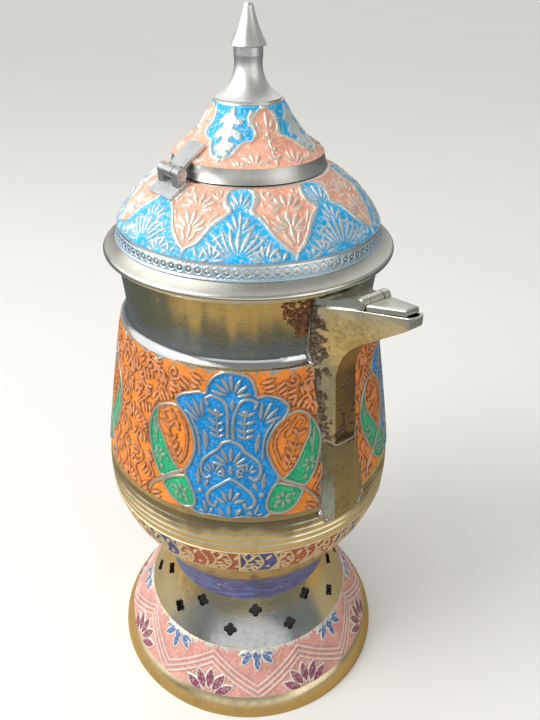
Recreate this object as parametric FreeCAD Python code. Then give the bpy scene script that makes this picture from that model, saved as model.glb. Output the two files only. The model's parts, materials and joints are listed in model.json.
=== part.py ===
"""Enamelled brass dallah coffee pot with a beaked spout, a lift-off domed cover and a hinged lid.

Millimetres. +Z is up, the origin is on the pot's axis in the plane that the foot stands on.
The spout points along +X, the handle along -X, and the lid's hinge lies on the -Y side.
"""
import FreeCAD, Part
import math
import os

from FreeCAD import Vector

# Foot
foot_radius = 67.2
foot_rim_height = 9.2
foot_rim_width = 4.6
foot_rim_bulge = 0.9
pedestal_foot_radius = 63.0
pedestal_height = 41.9
pedestal_hollow = 1.1
pedestal_wall = 1.8
waist_radius = 39.8
foot_collar_height = 15.8
foot_collar_hollow = 0.9
foot_collar_flare = 3.5
foot_collar_wall = 2.2

# Two rows of four-lobed holes in the foot
hole_count = 10
hole_lobe_radius = 1.5
hole_lobe_offset = 1.75
hole_cut_depth = 11.0
hole_upper_drop = 5.3
hole_row_gap = 9.0
hole_upper_turn = -32.4
hole_lower_turn = -47.7

# Body
bowl_height = 40.9
bowl_bulge = 2.3
bowl_floor = 1.8
belly_foot_radius = 63.6
belly_height = 16.1
belly_bulge = 0.6
groove_count = 4
groove_depth = 0.35
groove_width = 1.0
wall_foot_radius = 63.4
wall_height = 62.9
wall_bulge = 0.25
wall_top_radius = 52.9
body_sheet = 1.5
neck_step = 2.7
neck_cove_height = 3.7
neck_cove_hollow = 0.7
neck_height = 26.2
neck_hollow = 0.4
mouth_flare = 2.2
mouth_ring_height = 2.2
mouth_ring_width = 5.0
mouth_ring_lip = 0.75
mouth_ring_bulge = 0.65

# Strainer behind the spout
strainer_rows = 3
strainer_columns = 3
strainer_hole_radius = 2.0
strainer_pitch = 7.0

# Spout
heel_drop = 6.5
heel_stand_off = 0.9
channel_depth = 32.6
throat_drop = 4.3
throat_stand_off = 6.1
ridge_bend = 20.0
ridge_steps = 4
nose_length = 19.8
nose_depth = 5.5
nose_chamfer = 2.4
nose_bend = 4.3
spout_wall = 1.2
spout_root_depth = 12.0
spout_slope = 11.5
spout_heel_half_width = 11.8
spout_floor_half_width = 9.0
spout_throat_half_width = 10.2
spout_root_half_width = 11.4
spout_front_half_width = 5.0
nose_half_width = 3.2
lip_depth = 7.5
lip_slope = 5.6

# Spout flap and the plate that carries it
flap_axis_stand_off = 11.3
flap_axis_height = 0.6
ear_radius = 2.3
ear_inner = 3.3
ear_thickness = 2.9
ear_web_length = 1.0
hinge_gap = 0.3
running_clearance = 0.05
top_plate_thickness = 2.6
top_plate_overhang = 0.2
top_plate_root_depth = 6.0
flap_length = 16.8
flap_thickness = 2.1
flap_bevel = 0.5
flap_bevel_inset = 0.6
flap_web_drop = 1.15
flap_pin_radius = 1.0
flap_pin_head_radius = 1.7
flap_pin_head_height = 0.4

# Cover
flange_overhang = 3.95
flange_width = 5.5
flange_height = 5.5
flange_edge_height = 2.6
flange_edge_bulge = 0.65
flange_top_hollow = 0.2
border_height = 5.8
border_taper = 1.2
border_bulge = 0.3
border_wall = 2.0
dome_height = 20.8
dome_bulge = 2.7
dome_sheet = 1.9
throat_radius = 26.5
throat_wall = 1.3
throat_height = 1.6
throat_depth = 3.4
throat_inset = 0.8
cover_collar_clearance = 0.85
cover_collar_sheet = 1.2
cover_collar_depth = 8.0

# Lid and finial
lid_overhang = 3.2
lid_gap = 0.35
lid_band_height = 5.1
lid_band_taper = 1.5
lid_band_hollow = 0.2
lid_band_wall = 1.6
lid_cone_height = 17.8
lid_cone_hollow = 2.0
lid_cone_top_radius = 12.6
lid_cone_wall = 1.7
lid_crown = 1.4
finial_base_step = 0.6
finial_base_edge = 0.8
finial_flare_height = 13.6
finial_flare_hollow = 2.55
finial_neck_radius = 5.2
finial_neck_length = 2.6
finial_knop_radius = 6.6
finial_knop_under = 0.6
finial_point_height = 13.3
finial_point_hollow = 0.4
finial_tip_radius = 1.9
finial_stud_radius = 3.0
finial_stud_end = 0.6
nut_across_flats = 10.0
nut_height = 4.0

# Lid hinge
hinge_stand_off = 1.6
hinge_rise = 2.4
knuckle_radius = 2.2
knuckle_half_length = 6.6
middle_knuckle_half = 2.6
lid_pin_radius = 1.0
leaf_thickness = 1.2
leaf_seat = 0.1
lid_leaf_half_width = 4.6
lid_leaf_rise = 4.8
lid_tongue_drop = 0.5
dome_leaf_length = 8.2
dome_leaf_half_width = 7.4
hinge_web_inset = 1.5
hinge_web_outset = 2.0

# Handle
handle_radius = 4.6
handle_stand_off = 40.6
handle_shoulder_inset = 19.0
handle_shoulder_rise = 9.0
handle_knee_drop = 19.0
handle_heel_inset = 7.0
handle_heel_rise = 19.0
handle_bend_share = 0.45
upper_socket_drop = 14.5
lower_socket_rise = 10.0
socket_wall = 2.0
socket_length = 10.0
socket_root = 4.0
pad_thickness = 3.0
pad_half_width = 9.0
pad_half_height = 9.0
pad_root_depth = 8.0
rivet_place = 6.0
rivet_radius = 1.4
rivet_head_radius = 2.2
rivet_head_height = 1.0

# Radii and reaches that follow from the pieces they sit on
bowl_foot_radius = waist_radius + foot_collar_flare
neck_radius = wall_top_radius - neck_step
mouth_radius = neck_radius + mouth_flare
mouth_ring_radius = mouth_radius + mouth_ring_lip
mouth_opening = mouth_ring_radius - mouth_ring_width
flange_radius = mouth_ring_radius + flange_overhang
dome_radius = flange_radius - flange_width
cover_rim_radius = dome_radius - border_wall
border_top_radius = dome_radius - border_taper
lid_seat_radius = throat_radius + lid_overhang
lid_band_top_radius = lid_seat_radius - lid_band_taper
finial_base_radius = lid_cone_top_radius - finial_base_step
flap_axis_reach = flange_radius + flap_axis_stand_off
nose_reach = flap_axis_reach + nose_length
throat_reach = wall_top_radius + throat_stand_off
hinge_reach = lid_seat_radius + knuckle_radius + hinge_stand_off
handle_reach = wall_foot_radius + handle_stand_off
ear_outer = ear_inner + ear_thickness

# Heights of the joints between the turned pieces, counted up from the floor
pedestal_z = foot_rim_height
foot_collar_z = pedestal_z + pedestal_height
bowl_z = foot_collar_z + foot_collar_height
belly_z = bowl_z + bowl_height
wall_z = belly_z + belly_height
neck_z = wall_z + wall_height
cove_z = neck_z + neck_cove_height
mouth_z = neck_z + neck_height
cover_z = mouth_z + mouth_ring_height
border_z = cover_z + flange_height
dome_z = border_z + border_height
throat_z = dome_z + dome_height
flap_axis_z = cover_z + flap_axis_height

AXIS = Vector(0, 0, 1)
ACROSS = Vector(0, 1, 0)
ORIGIN = Vector(0, 0, 0)
FAR = 400.0
QUARTER_BULGE = 1 - math.sqrt(0.5)


def edge_between(start, end, bulge):
    """Straight edge, or an arc whose middle stands off the chord by bulge, outward when going up."""
    first = Vector(start[0], 0, start[1])
    last = Vector(end[0], 0, end[1])
    if bulge == 0:
        return Part.LineSegment(first, last).toShape()
    chord = last - first
    normal = Vector(chord.z, 0, -chord.x).normalize()
    middle = (first + last) * 0.5 + normal * bulge
    return Part.Arc(first, middle, last).toShape()


def arc_centre(lower, upper, bulge):
    """Centre (radius, height) and signed bend radius of the arc that edge_between draws."""
    run = upper[0] - lower[0]
    rise = upper[1] - lower[1]
    chord = math.hypot(run, rise)
    bend = (chord ** 2 / 4 + bulge ** 2) / (2 * bulge)
    centre_radius = (lower[0] + upper[0]) / 2 + (bulge - bend) * rise / chord
    centre_height = (lower[1] + upper[1]) / 2 - (bulge - bend) * run / chord
    return centre_radius, centre_height, bend


def arc_radius(lower, upper, bulge, height):
    """Radius at a height on the arc that edge_between draws from lower to upper."""
    centre_radius, centre_height, bend = arc_centre(lower, upper, bulge)
    reach = math.sqrt(bend ** 2 - (height - centre_height) ** 2)
    return centre_radius + math.copysign(reach, bulge)


def turned(corners):
    """Solid of revolution of a closed section given as (radius, height, bulge of the next edge)."""
    edges = []
    for corner, following in zip(corners, corners[1:] + corners[:1]):
        edges.append(edge_between(corner[:2], following[:2], corner[2]))
    section = Part.Face(Part.Wire(edges))
    return section.revolve(ORIGIN, AXIS, 360)


def sheet(corners, wall):
    """Turned wall: the outer outline from bottom to top, and the same outline moved in by wall."""
    top_radius, top_height, _ = corners[-1]
    outside = corners[:-1] + [(top_radius, top_height, 0)]
    inside = [(top_radius - wall, top_height, -corners[-2][2])]
    for index in range(len(corners) - 2, -1, -1):
        radius, height, _ = corners[index]
        bulge = -corners[index - 1][2] if index > 0 else 0
        inside.append((radius - wall, height, bulge))
    return turned(outside + inside)


def prism(points, half_width, middle=0.0):
    """Upright XZ outline, drawn out to both sides of Y = middle."""
    corners = [Vector(x, middle - half_width, z) for x, z in points]
    face = Part.Face(Part.makePolygon(corners + corners[:1]))
    return face.extrude(ACROSS * (2 * half_width))


def rod(radius, start, end):
    """Round bar between two points."""
    span = end - start
    return Part.makeCylinder(radius, span.Length, start, span)


def cross_rod(radius, start, end):
    """Round bar along Y between two places on that axis."""
    return rod(radius, ACROSS * start, ACROSS * end)


def largest(shape):
    return max(shape.Solids, key=lambda solid: solid.Volume)


def foot_rim():
    return turned([
        (foot_radius - foot_rim_width, 0, 0),
        (foot_radius, 0, foot_rim_bulge),
        (pedestal_foot_radius, pedestal_z, 0),
        (pedestal_foot_radius - pedestal_wall, pedestal_z, 0),
    ])


def quatrefoil(height, turn):
    """Cutter of four lobes, square to the pedestal's slope, at a height above the floor."""
    lower = (pedestal_foot_radius, pedestal_z)
    upper = (waist_radius, foot_collar_z)
    slope = math.degrees(math.atan2(pedestal_foot_radius - waist_radius, pedestal_height))
    through = Vector(hole_cut_depth, 0, 0)
    cutter = rod(hole_lobe_offset, through * -1, through)
    for dy, dz in ((1, 0), (-1, 0), (0, 1), (0, -1)):
        middle = Vector(0, dy, dz) * hole_lobe_offset
        cutter = cutter.fuse(rod(hole_lobe_radius, middle - through, middle + through))
    cutter.rotate(ORIGIN, ACROSS, -slope)
    cutter.translate(Vector(arc_radius(lower, upper, -pedestal_hollow, height), 0, height))
    cutter.rotate(ORIGIN, AXIS, turn)
    return cutter


def foot_pedestal():
    outline = [
        (pedestal_foot_radius, pedestal_z, -pedestal_hollow),
        (waist_radius, foot_collar_z, 0),
    ]
    upper_row = foot_collar_z - hole_upper_drop
    lower_row = upper_row - hole_row_gap
    cutters = []
    for index in range(hole_count):
        step = index * 360 / hole_count
        cutters.append(quatrefoil(upper_row, hole_upper_turn + step))
        cutters.append(quatrefoil(lower_row, hole_lower_turn + step))
    return sheet(outline, pedestal_wall).cut(cutters)


def foot_collar():
    outline = [
        (waist_radius, foot_collar_z, -foot_collar_hollow),
        (bowl_foot_radius, bowl_z, 0),
    ]
    return sheet(outline, foot_collar_wall)


def body_outline():
    """Outside of bowl, belly, wall, neck and mouth ring: (radius, height, bulge of the next edge)."""
    return [
        (bowl_foot_radius, bowl_z, bowl_bulge),
        (belly_foot_radius, belly_z, belly_bulge),
        (wall_foot_radius, wall_z, wall_bulge),
        (wall_top_radius, neck_z, -neck_cove_hollow),
        (neck_radius, cove_z, -neck_hollow),
        (mouth_radius, mouth_z, 0),
        (mouth_ring_radius, mouth_z, mouth_ring_bulge),
        (mouth_ring_radius, cover_z, 0),
    ]


def body_core():
    """The filled outside of the body, which cuts what is seated on it."""
    return turned([(0, bowl_z, 0)] + body_outline() + [(0, cover_z, 0)])


def body_radius(height):
    """Outer radius of the body at a height, up to its mouth."""
    outline = body_outline()
    for lower, upper in zip(outline, outline[1:]):
        if lower[1] <= height < upper[1] <= mouth_z:
            return arc_radius(lower[:2], upper[:2], lower[2], height)
    return mouth_radius


def bowl_base():
    """Round bottom of the pot, closed by a flat floor."""
    inner_floor = bowl_z + bowl_floor
    return turned([
        (0, bowl_z, 0),
        (bowl_foot_radius, bowl_z, bowl_bulge),
        (belly_foot_radius, belly_z, 0),
        (belly_foot_radius - body_sheet, belly_z, -bowl_bulge),
        (body_radius(inner_floor) - body_sheet, inner_floor, 0),
        (0, inner_floor, 0),
    ])


def belly_ring():
    """Turned band with V grooves at an even pitch."""
    ring = sheet(body_outline()[1:3], body_sheet)
    pitch = belly_height / (groove_count + 1)
    for index in range(groove_count):
        height = belly_z + (index + 1) * pitch
        radius = body_radius(height)
        groove = turned([
            (radius - groove_depth, height, 0),
            (radius + groove_depth, height - groove_width, 0),
            (radius + groove_depth, height + groove_width, 0),
        ])
        ring = ring.cut(groove)
    return ring


def body_wall():
    """Straight side of the pot, with strainer holes where the spout's channel starts."""
    lowest = neck_z - channel_depth + strainer_pitch
    holes = []
    for row in range(strainer_rows):
        for column in range(strainer_columns):
            y = (column - (strainer_columns - 1) / 2) * strainer_pitch
            z = lowest + row * strainer_pitch
            holes.append(rod(strainer_hole_radius, Vector(0, y, z), Vector(FAR, y, z)))
    return sheet(body_outline()[2:4], body_sheet).cut(holes)


def neck():
    return sheet(body_outline()[3:6], body_sheet)


def mouth_ring():
    return turned([
        (mouth_opening, mouth_z, 0),
        (mouth_ring_radius, mouth_z, mouth_ring_bulge),
        (mouth_ring_radius, cover_z, 0),
        (mouth_opening, cover_z, 0),
    ])


def spout_ridge():
    """Points (reach, height) up the spout's front: heel, throat, a bend, and the nose.

    The bend is an arc that starts upright at the throat and ends where the line to the nose's
    lower edge is tangent to it.
    """
    heel_z = wall_z - heel_drop
    throat_at = neck_z - throat_drop
    rail_rise = (nose_reach - flap_axis_reach) * math.tan(math.radians(spout_slope))
    nose_z = flap_axis_z - ear_radius + rail_rise - nose_depth
    under_reach = nose_reach - nose_chamfer
    centre_reach = throat_reach + ridge_bend
    nose_angle = math.atan2(nose_z - throat_at, under_reach - centre_reach)
    nose_distance = math.hypot(nose_z - throat_at, under_reach - centre_reach)
    tangent = nose_angle + math.acos(ridge_bend / nose_distance)
    points = [(body_radius(heel_z) + heel_stand_off, heel_z), (throat_reach, throat_at)]
    for index in range(ridge_steps):
        angle = math.pi + (tangent - math.pi) * (index + 1) / ridge_steps
        points.append((centre_reach + ridge_bend * math.cos(angle), throat_at + ridge_bend * math.sin(angle)))
    points.append((under_reach, nose_z))
    points.append((nose_reach, nose_z + nose_chamfer))
    points.append((nose_reach, nose_z + 2 * nose_depth))
    return points


def between(start, end, share):
    return start + (end - start) * share


def spout_levels():
    """Rows (reach, height, root half-width, front half-width) up the spout, one at the channel's floor."""
    ridge = spout_ridge()
    (heel_reach, heel_z), (throat, throat_at) = ridge[:2]
    floor_z = neck_z - channel_depth
    floor_reach = between(heel_reach, throat, (floor_z - heel_z) / (throat_at - heel_z))
    levels = [
        (heel_reach, heel_z, spout_heel_half_width, spout_front_half_width),
        (floor_reach, floor_z, spout_floor_half_width, spout_front_half_width),
    ]
    nose_z = ridge[-3][1]
    for reach, height in ridge[1:]:
        share = min((height - throat_at) / (nose_z - throat_at), 1.0)
        root_half = between(spout_throat_half_width, spout_root_half_width, share)
        front_half = between(spout_front_half_width, nose_half_width, share)
        levels.append((reach, height, root_half, front_half))
    return levels


def spout_section(level, front_cut, side_cut):
    """Closed level outline of the spout: buried end, root, waist and front.

    At the nose the waist is as narrow as the flap's ears.
    """
    reach, height, root_half, front_half = level
    radius = body_radius(height)
    waist = min(flap_axis_reach, (radius + reach) / 2)
    waist_half = between(root_half, front_half, (waist - radius) / (reach - radius))
    if reach >= nose_reach - nose_chamfer:
        waist_half = min(waist_half, ear_outer)
    halves = [root_half, root_half, waist_half, front_half]
    places = [radius - spout_root_depth, radius, waist, reach - front_cut]
    right = [Vector(x, side_cut - half, height) for x, half in zip(places, halves)]
    left = [Vector(x, half - side_cut, height) for x, half in zip(places, halves)]
    outline = right + left[::-1]
    return Part.makePolygon(outline + outline[:1])


def spout_loft(levels, front_cut=0.0, side_cut=0.0):
    return Part.makeLoft([spout_section(level, front_cut, side_cut) for level in levels], True, True)


def behind_nose(inset):
    """Everything behind the upright round end of the nose, moved in by inset."""
    middle = nose_reach - nose_bend
    block = Part.makeBox(FAR, FAR, FAR, Vector(middle - FAR, -FAR / 2, 0))
    return block.fuse(Part.makeCylinder(nose_bend - inset, FAR, Vector(middle, 0, 0)))


def above_slope(reach, height, slope):
    """Everything above a plane that passes the given reach and height and climbs outward."""
    block = Part.makeBox(2 * FAR, FAR, FAR, Vector(-FAR, -FAR / 2, 0))
    block.rotate(ORIGIN, ACROSS, -slope)
    block.translate(Vector(reach, 0, height))
    return block


def spout_pieces():
    """Heel, two cheeks, front strip and lip, cut from one hollow beak so that they meet face to face."""
    levels = spout_levels()
    core = body_core()
    rail_z = flap_axis_z - ear_radius / math.cos(math.radians(spout_slope))
    above_rail = above_slope(flap_axis_reach, rail_z, spout_slope)
    lip_zone = above_slope(mouth_radius, cover_z - lip_depth, lip_slope)
    heel = largest(spout_loft(levels[:2]).cut(core))
    beak = spout_loft(levels[1:]).cut(core).cut(above_rail).common(behind_nose(0))
    hollow = spout_loft(levels[1:], front_cut=spout_wall, side_cut=spout_wall).common(behind_nose(spout_wall))
    behind_strip = spout_loft(levels[1:], front_cut=spout_wall, side_cut=-spout_root_half_width)
    shell = beak.cut(hollow)
    below_lip = shell.cut(lip_zone)
    cheeks = below_lip.common(behind_strip)
    sides = sorted(cheeks.Solids, key=lambda solid: solid.Volume)[-2:]
    right, left = sorted(sides, key=lambda solid: solid.CenterOfMass.y)
    return {
        "spout_heel": heel,
        "spout_front_strip": largest(below_lip.cut(behind_strip)),
        "spout_right_cheek": right,
        "spout_left_cheek": left,
        "spout_lip": largest(shell.common(lip_zone)),
    }


def on_flap_axis(shape):
    """Place a shape drawn about the flap's axis, with +X along the spout's slope."""
    shape.rotate(ORIGIN, ACROSS, -spout_slope)
    shape.translate(Vector(flap_axis_reach, 0, flap_axis_z))
    return shape


def plate_outline(near, near_half, far, far_half, height):
    """Four-cornered level outline whose half-width runs from near_half to far_half."""
    corners = [
        Vector(near, -near_half, height),
        Vector(far, -far_half, height),
        Vector(far, far_half, height),
        Vector(near, near_half, height),
    ]
    return Part.makePolygon(corners + corners[:1])


def spout_top_plate():
    """Plate over the root of the spout, with an ear on each side for the flap's pin."""
    front = -(ear_radius + hinge_gap)
    back = mouth_radius - top_plate_root_depth - flap_axis_reach
    low = -ear_radius
    high = low + top_plate_thickness
    outline = plate_outline(back, spout_root_half_width + top_plate_overhang, front, ear_outer, low)
    plate = Part.Face(outline).extrude(Vector(0, 0, top_plate_thickness))
    web_back = front - ear_web_length
    web = [(web_back, low), (0, low), (0, 0), (web_back, high)]
    for side in (-1, 1):
        ear = cross_rod(ear_radius, side * ear_inner, side * ear_outer)
        middle = side * (ear_inner + ear_outer) / 2
        plate = plate.fuse([ear, prism(web, ear_thickness / 2, middle)])
    plate = plate.cut(cross_rod(flap_pin_radius + running_clearance / 2, -FAR, FAR))
    return largest(on_flap_axis(plate).cut(body_core()))


def spout_flap():
    """Bevelled plate over the beak's channel, with one knuckle between the ears."""
    near = ear_radius + hinge_gap
    low = hinge_gap - ear_radius
    shoulder = low + flap_thickness - flap_bevel
    near_half = ear_outer - hinge_gap
    far_half = nose_half_width - hinge_gap
    base = plate_outline(near, near_half, flap_length, far_half, low)
    edge = plate_outline(near, near_half, flap_length, far_half, shoulder)
    crest = plate_outline(near, near_half - flap_bevel_inset, flap_length - flap_bevel_inset,
                          far_half - flap_bevel_inset, shoulder + flap_bevel)
    knuckle_half = ear_inner - hinge_gap
    web_front = near + ear_web_length
    web = [(0, -flap_web_drop), (web_front, -flap_web_drop), (web_front, shoulder), (0, shoulder)]
    flap = Part.makeLoft([base, edge, crest], True, True)
    flap = flap.fuse([cross_rod(ear_radius, -knuckle_half, knuckle_half), prism(web, knuckle_half)])
    return on_flap_axis(flap.cut(cross_rod(flap_pin_radius + running_clearance, -FAR, FAR)))


def flap_pin():
    end = ear_outer + running_clearance
    pin = cross_rod(flap_pin_radius, -end, end)
    for side in (-1, 1):
        pin = pin.fuse(cross_rod(flap_pin_head_radius, side * end, side * (end + flap_pin_head_height)))
    return on_flap_axis(pin)


def cover_flange():
    edge_radius = flange_radius - flange_edge_bulge
    return turned([
        (cover_rim_radius, cover_z, 0),
        (edge_radius, cover_z, flange_edge_bulge),
        (edge_radius, cover_z + flange_edge_height, -flange_top_hollow),
        (dome_radius, border_z, 0),
        (cover_rim_radius, border_z, 0),
    ])


def cover_collar():
    """Sleeve that hangs from the flange and stays clear of the mouth ring and the neck."""
    outer = mouth_opening - cover_collar_clearance
    inner = outer - cover_collar_sheet
    low_z = cover_z - cover_collar_depth
    top_z = cover_z + cover_collar_sheet
    return turned([
        (inner, low_z, 0),
        (outer, low_z, 0),
        (outer, cover_z, 0),
        (cover_rim_radius, cover_z, 0),
        (cover_rim_radius, top_z, 0),
        (inner, top_z, 0),
    ])


def dome_border():
    return sheet([(dome_radius, border_z, border_bulge), (border_top_radius, dome_z, 0)], border_wall)


def dome():
    return sheet([(border_top_radius, dome_z, dome_bulge), (throat_radius, throat_z, 0)], dome_sheet)


def dome_place(radius):
    """Height and slope of the dome's outer side at a radius."""
    lower = (border_top_radius, dome_z)
    upper = (throat_radius, throat_z)
    centre_radius, centre_height, bend = arc_centre(lower, upper, dome_bulge)
    rise = math.sqrt(bend ** 2 - (radius - centre_radius) ** 2)
    return centre_height + rise, (centre_radius - radius) / rise


def throat_ring():
    """Ring inside the dome's opening that stands up into the lid."""
    bore = throat_radius - dome_sheet
    stand = throat_radius - throat_inset
    return turned([
        (bore - throat_wall, throat_z - throat_depth, 0),
        (bore, throat_z - throat_depth, 0),
        (bore, throat_z, 0),
        (stand, throat_z, 0),
        (stand, throat_z + throat_height, 0),
        (bore - throat_wall, throat_z + throat_height, 0),
    ])


# Heights of the lid's pieces, counted up from where the lid rests on the dome
band_z = dome_place(lid_seat_radius)[0] + lid_gap
cone_z = band_z + lid_band_height
finial_z = cone_z + lid_cone_height
crown_z = finial_z - lid_crown
hinge_z = band_z + hinge_rise


def lid_band():
    """Plain band at the lid's foot, whose under side follows the dome."""
    inner = lid_seat_radius - lid_band_wall
    return turned([
        (inner, dome_place(inner)[0] + lid_gap, 0),
        (lid_seat_radius, band_z, -lid_band_hollow),
        (lid_band_top_radius, cone_z, 0),
        (lid_band_top_radius - lid_band_wall, cone_z, 0),
    ])


def lid_cone():
    """Hollow pointed lid whose small flat crown has a hole for the finial's stud."""
    hole = finial_stud_radius + running_clearance
    return turned([
        (lid_band_top_radius - lid_cone_wall, cone_z, 0),
        (lid_band_top_radius, cone_z, -lid_cone_hollow),
        (lid_cone_top_radius, finial_z, 0),
        (hole, finial_z, 0),
        (hole, crown_z, 0),
        (lid_cone_top_radius - lid_cone_wall, crown_z, lid_cone_hollow),
    ])


def finial():
    """Turned point: a flared foot, a narrow neck, a knop and a long tip, with a stud below."""
    stud_z = crown_z - nut_height - finial_stud_end
    edge_z = finial_z + finial_base_edge
    neck_low_z = edge_z + finial_flare_height
    neck_high_z = neck_low_z + finial_neck_length
    knop_z = neck_high_z + finial_knop_under
    tip_z = knop_z + finial_point_height
    return turned([
        (0, stud_z, 0),
        (finial_stud_radius, stud_z, 0),
        (finial_stud_radius, finial_z, 0),
        (finial_base_radius, finial_z, 0),
        (finial_base_radius, edge_z, -finial_flare_hollow),
        (finial_neck_radius, neck_low_z, 0),
        (finial_neck_radius, neck_high_z, 0),
        (finial_knop_radius, knop_z, -finial_point_hollow),
        (finial_tip_radius, tip_z - finial_tip_radius, finial_tip_radius * QUARTER_BULGE),
        (0, tip_z, 0),
    ])


def finial_nut():
    """Six-sided nut on the stud, under the lid's crown."""
    corner = Vector(nut_across_flats / math.sqrt(3), 0, crown_z - nut_height)
    corners = []
    for index in range(6):
        turn = FreeCAD.Rotation(AXIS, 60 * index)
        corners.append(turn.multVec(corner))
    nut = Part.Face(Part.makePolygon(corners + corners[:1])).extrude(AXIS * nut_height)
    return nut.cut(rod(finial_stud_radius + running_clearance, ORIGIN, AXIS * FAR))


def on_lid_hinge(shape):
    """Turn a shape drawn with +X outward and Y along the hinge to the hinge's place on the -Y side."""
    shape.rotate(ORIGIN, AXIS, -90)
    return shape


def hinge_rod(radius, start, end):
    return rod(radius, Vector(hinge_reach, start, hinge_z), Vector(hinge_reach, end, hinge_z))


def leaf_plate(start, end, half_width):
    """Flat leaf above the line from start to end in the plane of reach and height."""
    run = Vector(end[0] - start[0], 0, end[1] - start[1])
    up = Vector(-run.z, 0, run.x).normalize() * math.copysign(leaf_thickness, run.x)
    points = [start, end, (end[0] + up.x, end[1] + up.z), (start[0] + up.x, start[1] + up.z)]
    return prism(points, half_width)


def lid_hinge_leaf():
    """Upper leaf: lies on the band's top edge and on the cone, with the middle knuckle."""
    top_z = cone_z + lid_leaf_rise
    lower = (lid_band_top_radius, cone_z)
    upper = (lid_cone_top_radius, finial_z)
    top = Vector(arc_radius(lower, upper, -lid_cone_hollow, top_z) + leaf_seat, 0, top_z + leaf_seat)
    edge = Vector(lid_band_top_radius + leaf_seat, 0, cone_z + leaf_seat)
    down = (edge - top).normalize()
    clear = knuckle_radius + 2 * hinge_gap
    overshoot = max((Vector(hinge_reach, 0, hinge_z) - edge).dot(down) - clear, 0)
    shoulder = edge + down * overshoot
    plate = leaf_plate((top.x, top.z), (shoulder.x, shoulder.z), lid_leaf_half_width)
    tongue_end = (hinge_reach, hinge_z - lid_tongue_drop)
    tongue = leaf_plate((shoulder.x, shoulder.z), tongue_end, middle_knuckle_half)
    knuckle = hinge_rod(knuckle_radius, -middle_knuckle_half, middle_knuckle_half)
    bore = hinge_rod(lid_pin_radius + running_clearance, -FAR, FAR)
    leaf = plate.fuse([tongue, knuckle]).cut(bore)
    return on_lid_hinge(leaf.removeSplitter())


def dome_hinge_leaf():
    """Lower leaf: lies against the dome, with the two outer knuckles on a short web."""
    touch_reach = hinge_reach + dome_leaf_length / 2
    touch_z, slope = dome_place(touch_reach)
    steepness = math.hypot(1, slope)
    inner = hinge_reach - hinge_web_inset
    outer = hinge_reach + hinge_web_outset
    inner_z = touch_z + leaf_seat * steepness + (inner - touch_reach) * slope
    end = (inner + dome_leaf_length / steepness, inner_z + slope * dome_leaf_length / steepness)
    leaf = leaf_plate((inner, inner_z), end, dome_leaf_half_width)
    web_z = inner_z + leaf_thickness / 2
    web = [(inner, web_z), (outer, web_z + (outer - inner) * slope), (outer, hinge_z), (inner, hinge_z)]
    gap = middle_knuckle_half + hinge_gap
    web_half = (knuckle_half_length - gap) / 2
    for side in (-1, 1):
        knuckle = hinge_rod(knuckle_radius, side * gap, side * knuckle_half_length)
        leaf = leaf.fuse([knuckle, prism(web, web_half, side * (gap + web_half))])
    swing = hinge_rod(knuckle_radius + 2 * hinge_gap, -gap, gap)
    bore = hinge_rod(lid_pin_radius + running_clearance / 2, -FAR, FAR)
    return on_lid_hinge(largest(leaf.cut([swing, bore])))


def lid_hinge_pin():
    return on_lid_hinge(hinge_rod(lid_pin_radius, -knuckle_half_length, knuckle_half_length))


def handle_route():
    """Corners of the handle's middle line: out from the neck, down along the hand, back to the belly."""
    upper_z = mouth_z - upper_socket_drop
    lower_z = belly_z + lower_socket_rise
    route = [
        (body_radius(upper_z) + pad_thickness, upper_z),
        (handle_reach - handle_shoulder_inset, upper_z + handle_shoulder_rise),
        (handle_reach, upper_z - handle_knee_drop),
        (handle_reach - handle_heel_inset, lower_z + handle_heel_rise),
        (body_radius(lower_z) + pad_thickness, lower_z),
    ]
    return [Vector(-reach, 0, height) for reach, height in route]


def rounded_path(points):
    """Straight runs joined by tangent arcs, each as large as a share of its shorter run allows."""
    path = []
    start = points[0]
    for before, corner, after in zip(points, points[1:], points[2:]):
        back = before - corner
        ahead = after - corner
        half_angle = back.getAngle(ahead) / 2
        setback = handle_bend_share * min(back.Length, ahead.Length)
        back.normalize()
        ahead.normalize()
        bisector = (back + ahead).normalize()
        bend = setback * math.tan(half_angle)
        crown = corner + bisector * (bend / math.sin(half_angle) - bend)
        leave = corner + ahead * setback
        path.append(Part.LineSegment(start, corner + back * setback).toShape())
        path.append(Part.Arc(corner + back * setback, crown, leave).toShape())
        start = leave
    path.append(Part.LineSegment(start, points[-1]).toShape())
    return Part.Wire(path)


def handle_sockets():
    """Mouth and outward direction of the upper and the lower socket."""
    route = handle_route()
    upper = (route[0], (route[1] - route[0]).normalize())
    lower = (route[-1], (route[-2] - route[-1]).normalize())
    return upper, lower


def handle_bar():
    """Round bar along the route, with a cross bore for the rivet at each end."""
    route = handle_route()
    profile = Part.Wire(Part.makeCircle(handle_radius, route[0], route[1] - route[0]))
    bar = rounded_path(route).makePipeShell([profile], True, True)
    return bar.cut(rivet_bores()).cut(body_core())


def handle_bracket(mouth, direction):
    """Pad seated on the body with a round socket for the end of the bar."""
    corner = mouth - Vector(0, pad_half_width, pad_half_height)
    pad = Part.makeBox(pad_thickness + pad_root_depth, 2 * pad_half_width, 2 * pad_half_height, corner)
    root = mouth - direction * socket_root
    socket = rod(handle_radius + socket_wall, root, mouth + direction * socket_length)
    bore = rod(handle_radius + running_clearance, mouth, mouth + direction * FAR)
    bracket = pad.fuse(socket).cut(body_core()).cut(bore)
    return largest(bracket.cut(rivet_bores()))


def rivet_middles():
    return [mouth + direction * rivet_place for mouth, direction in handle_sockets()]


def rivet_bores():
    radius = rivet_radius + running_clearance / 2
    bores = [rod(radius, middle - ACROSS * FAR, middle + ACROSS * FAR) for middle in rivet_middles()]
    return Part.makeCompound(bores)


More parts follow.
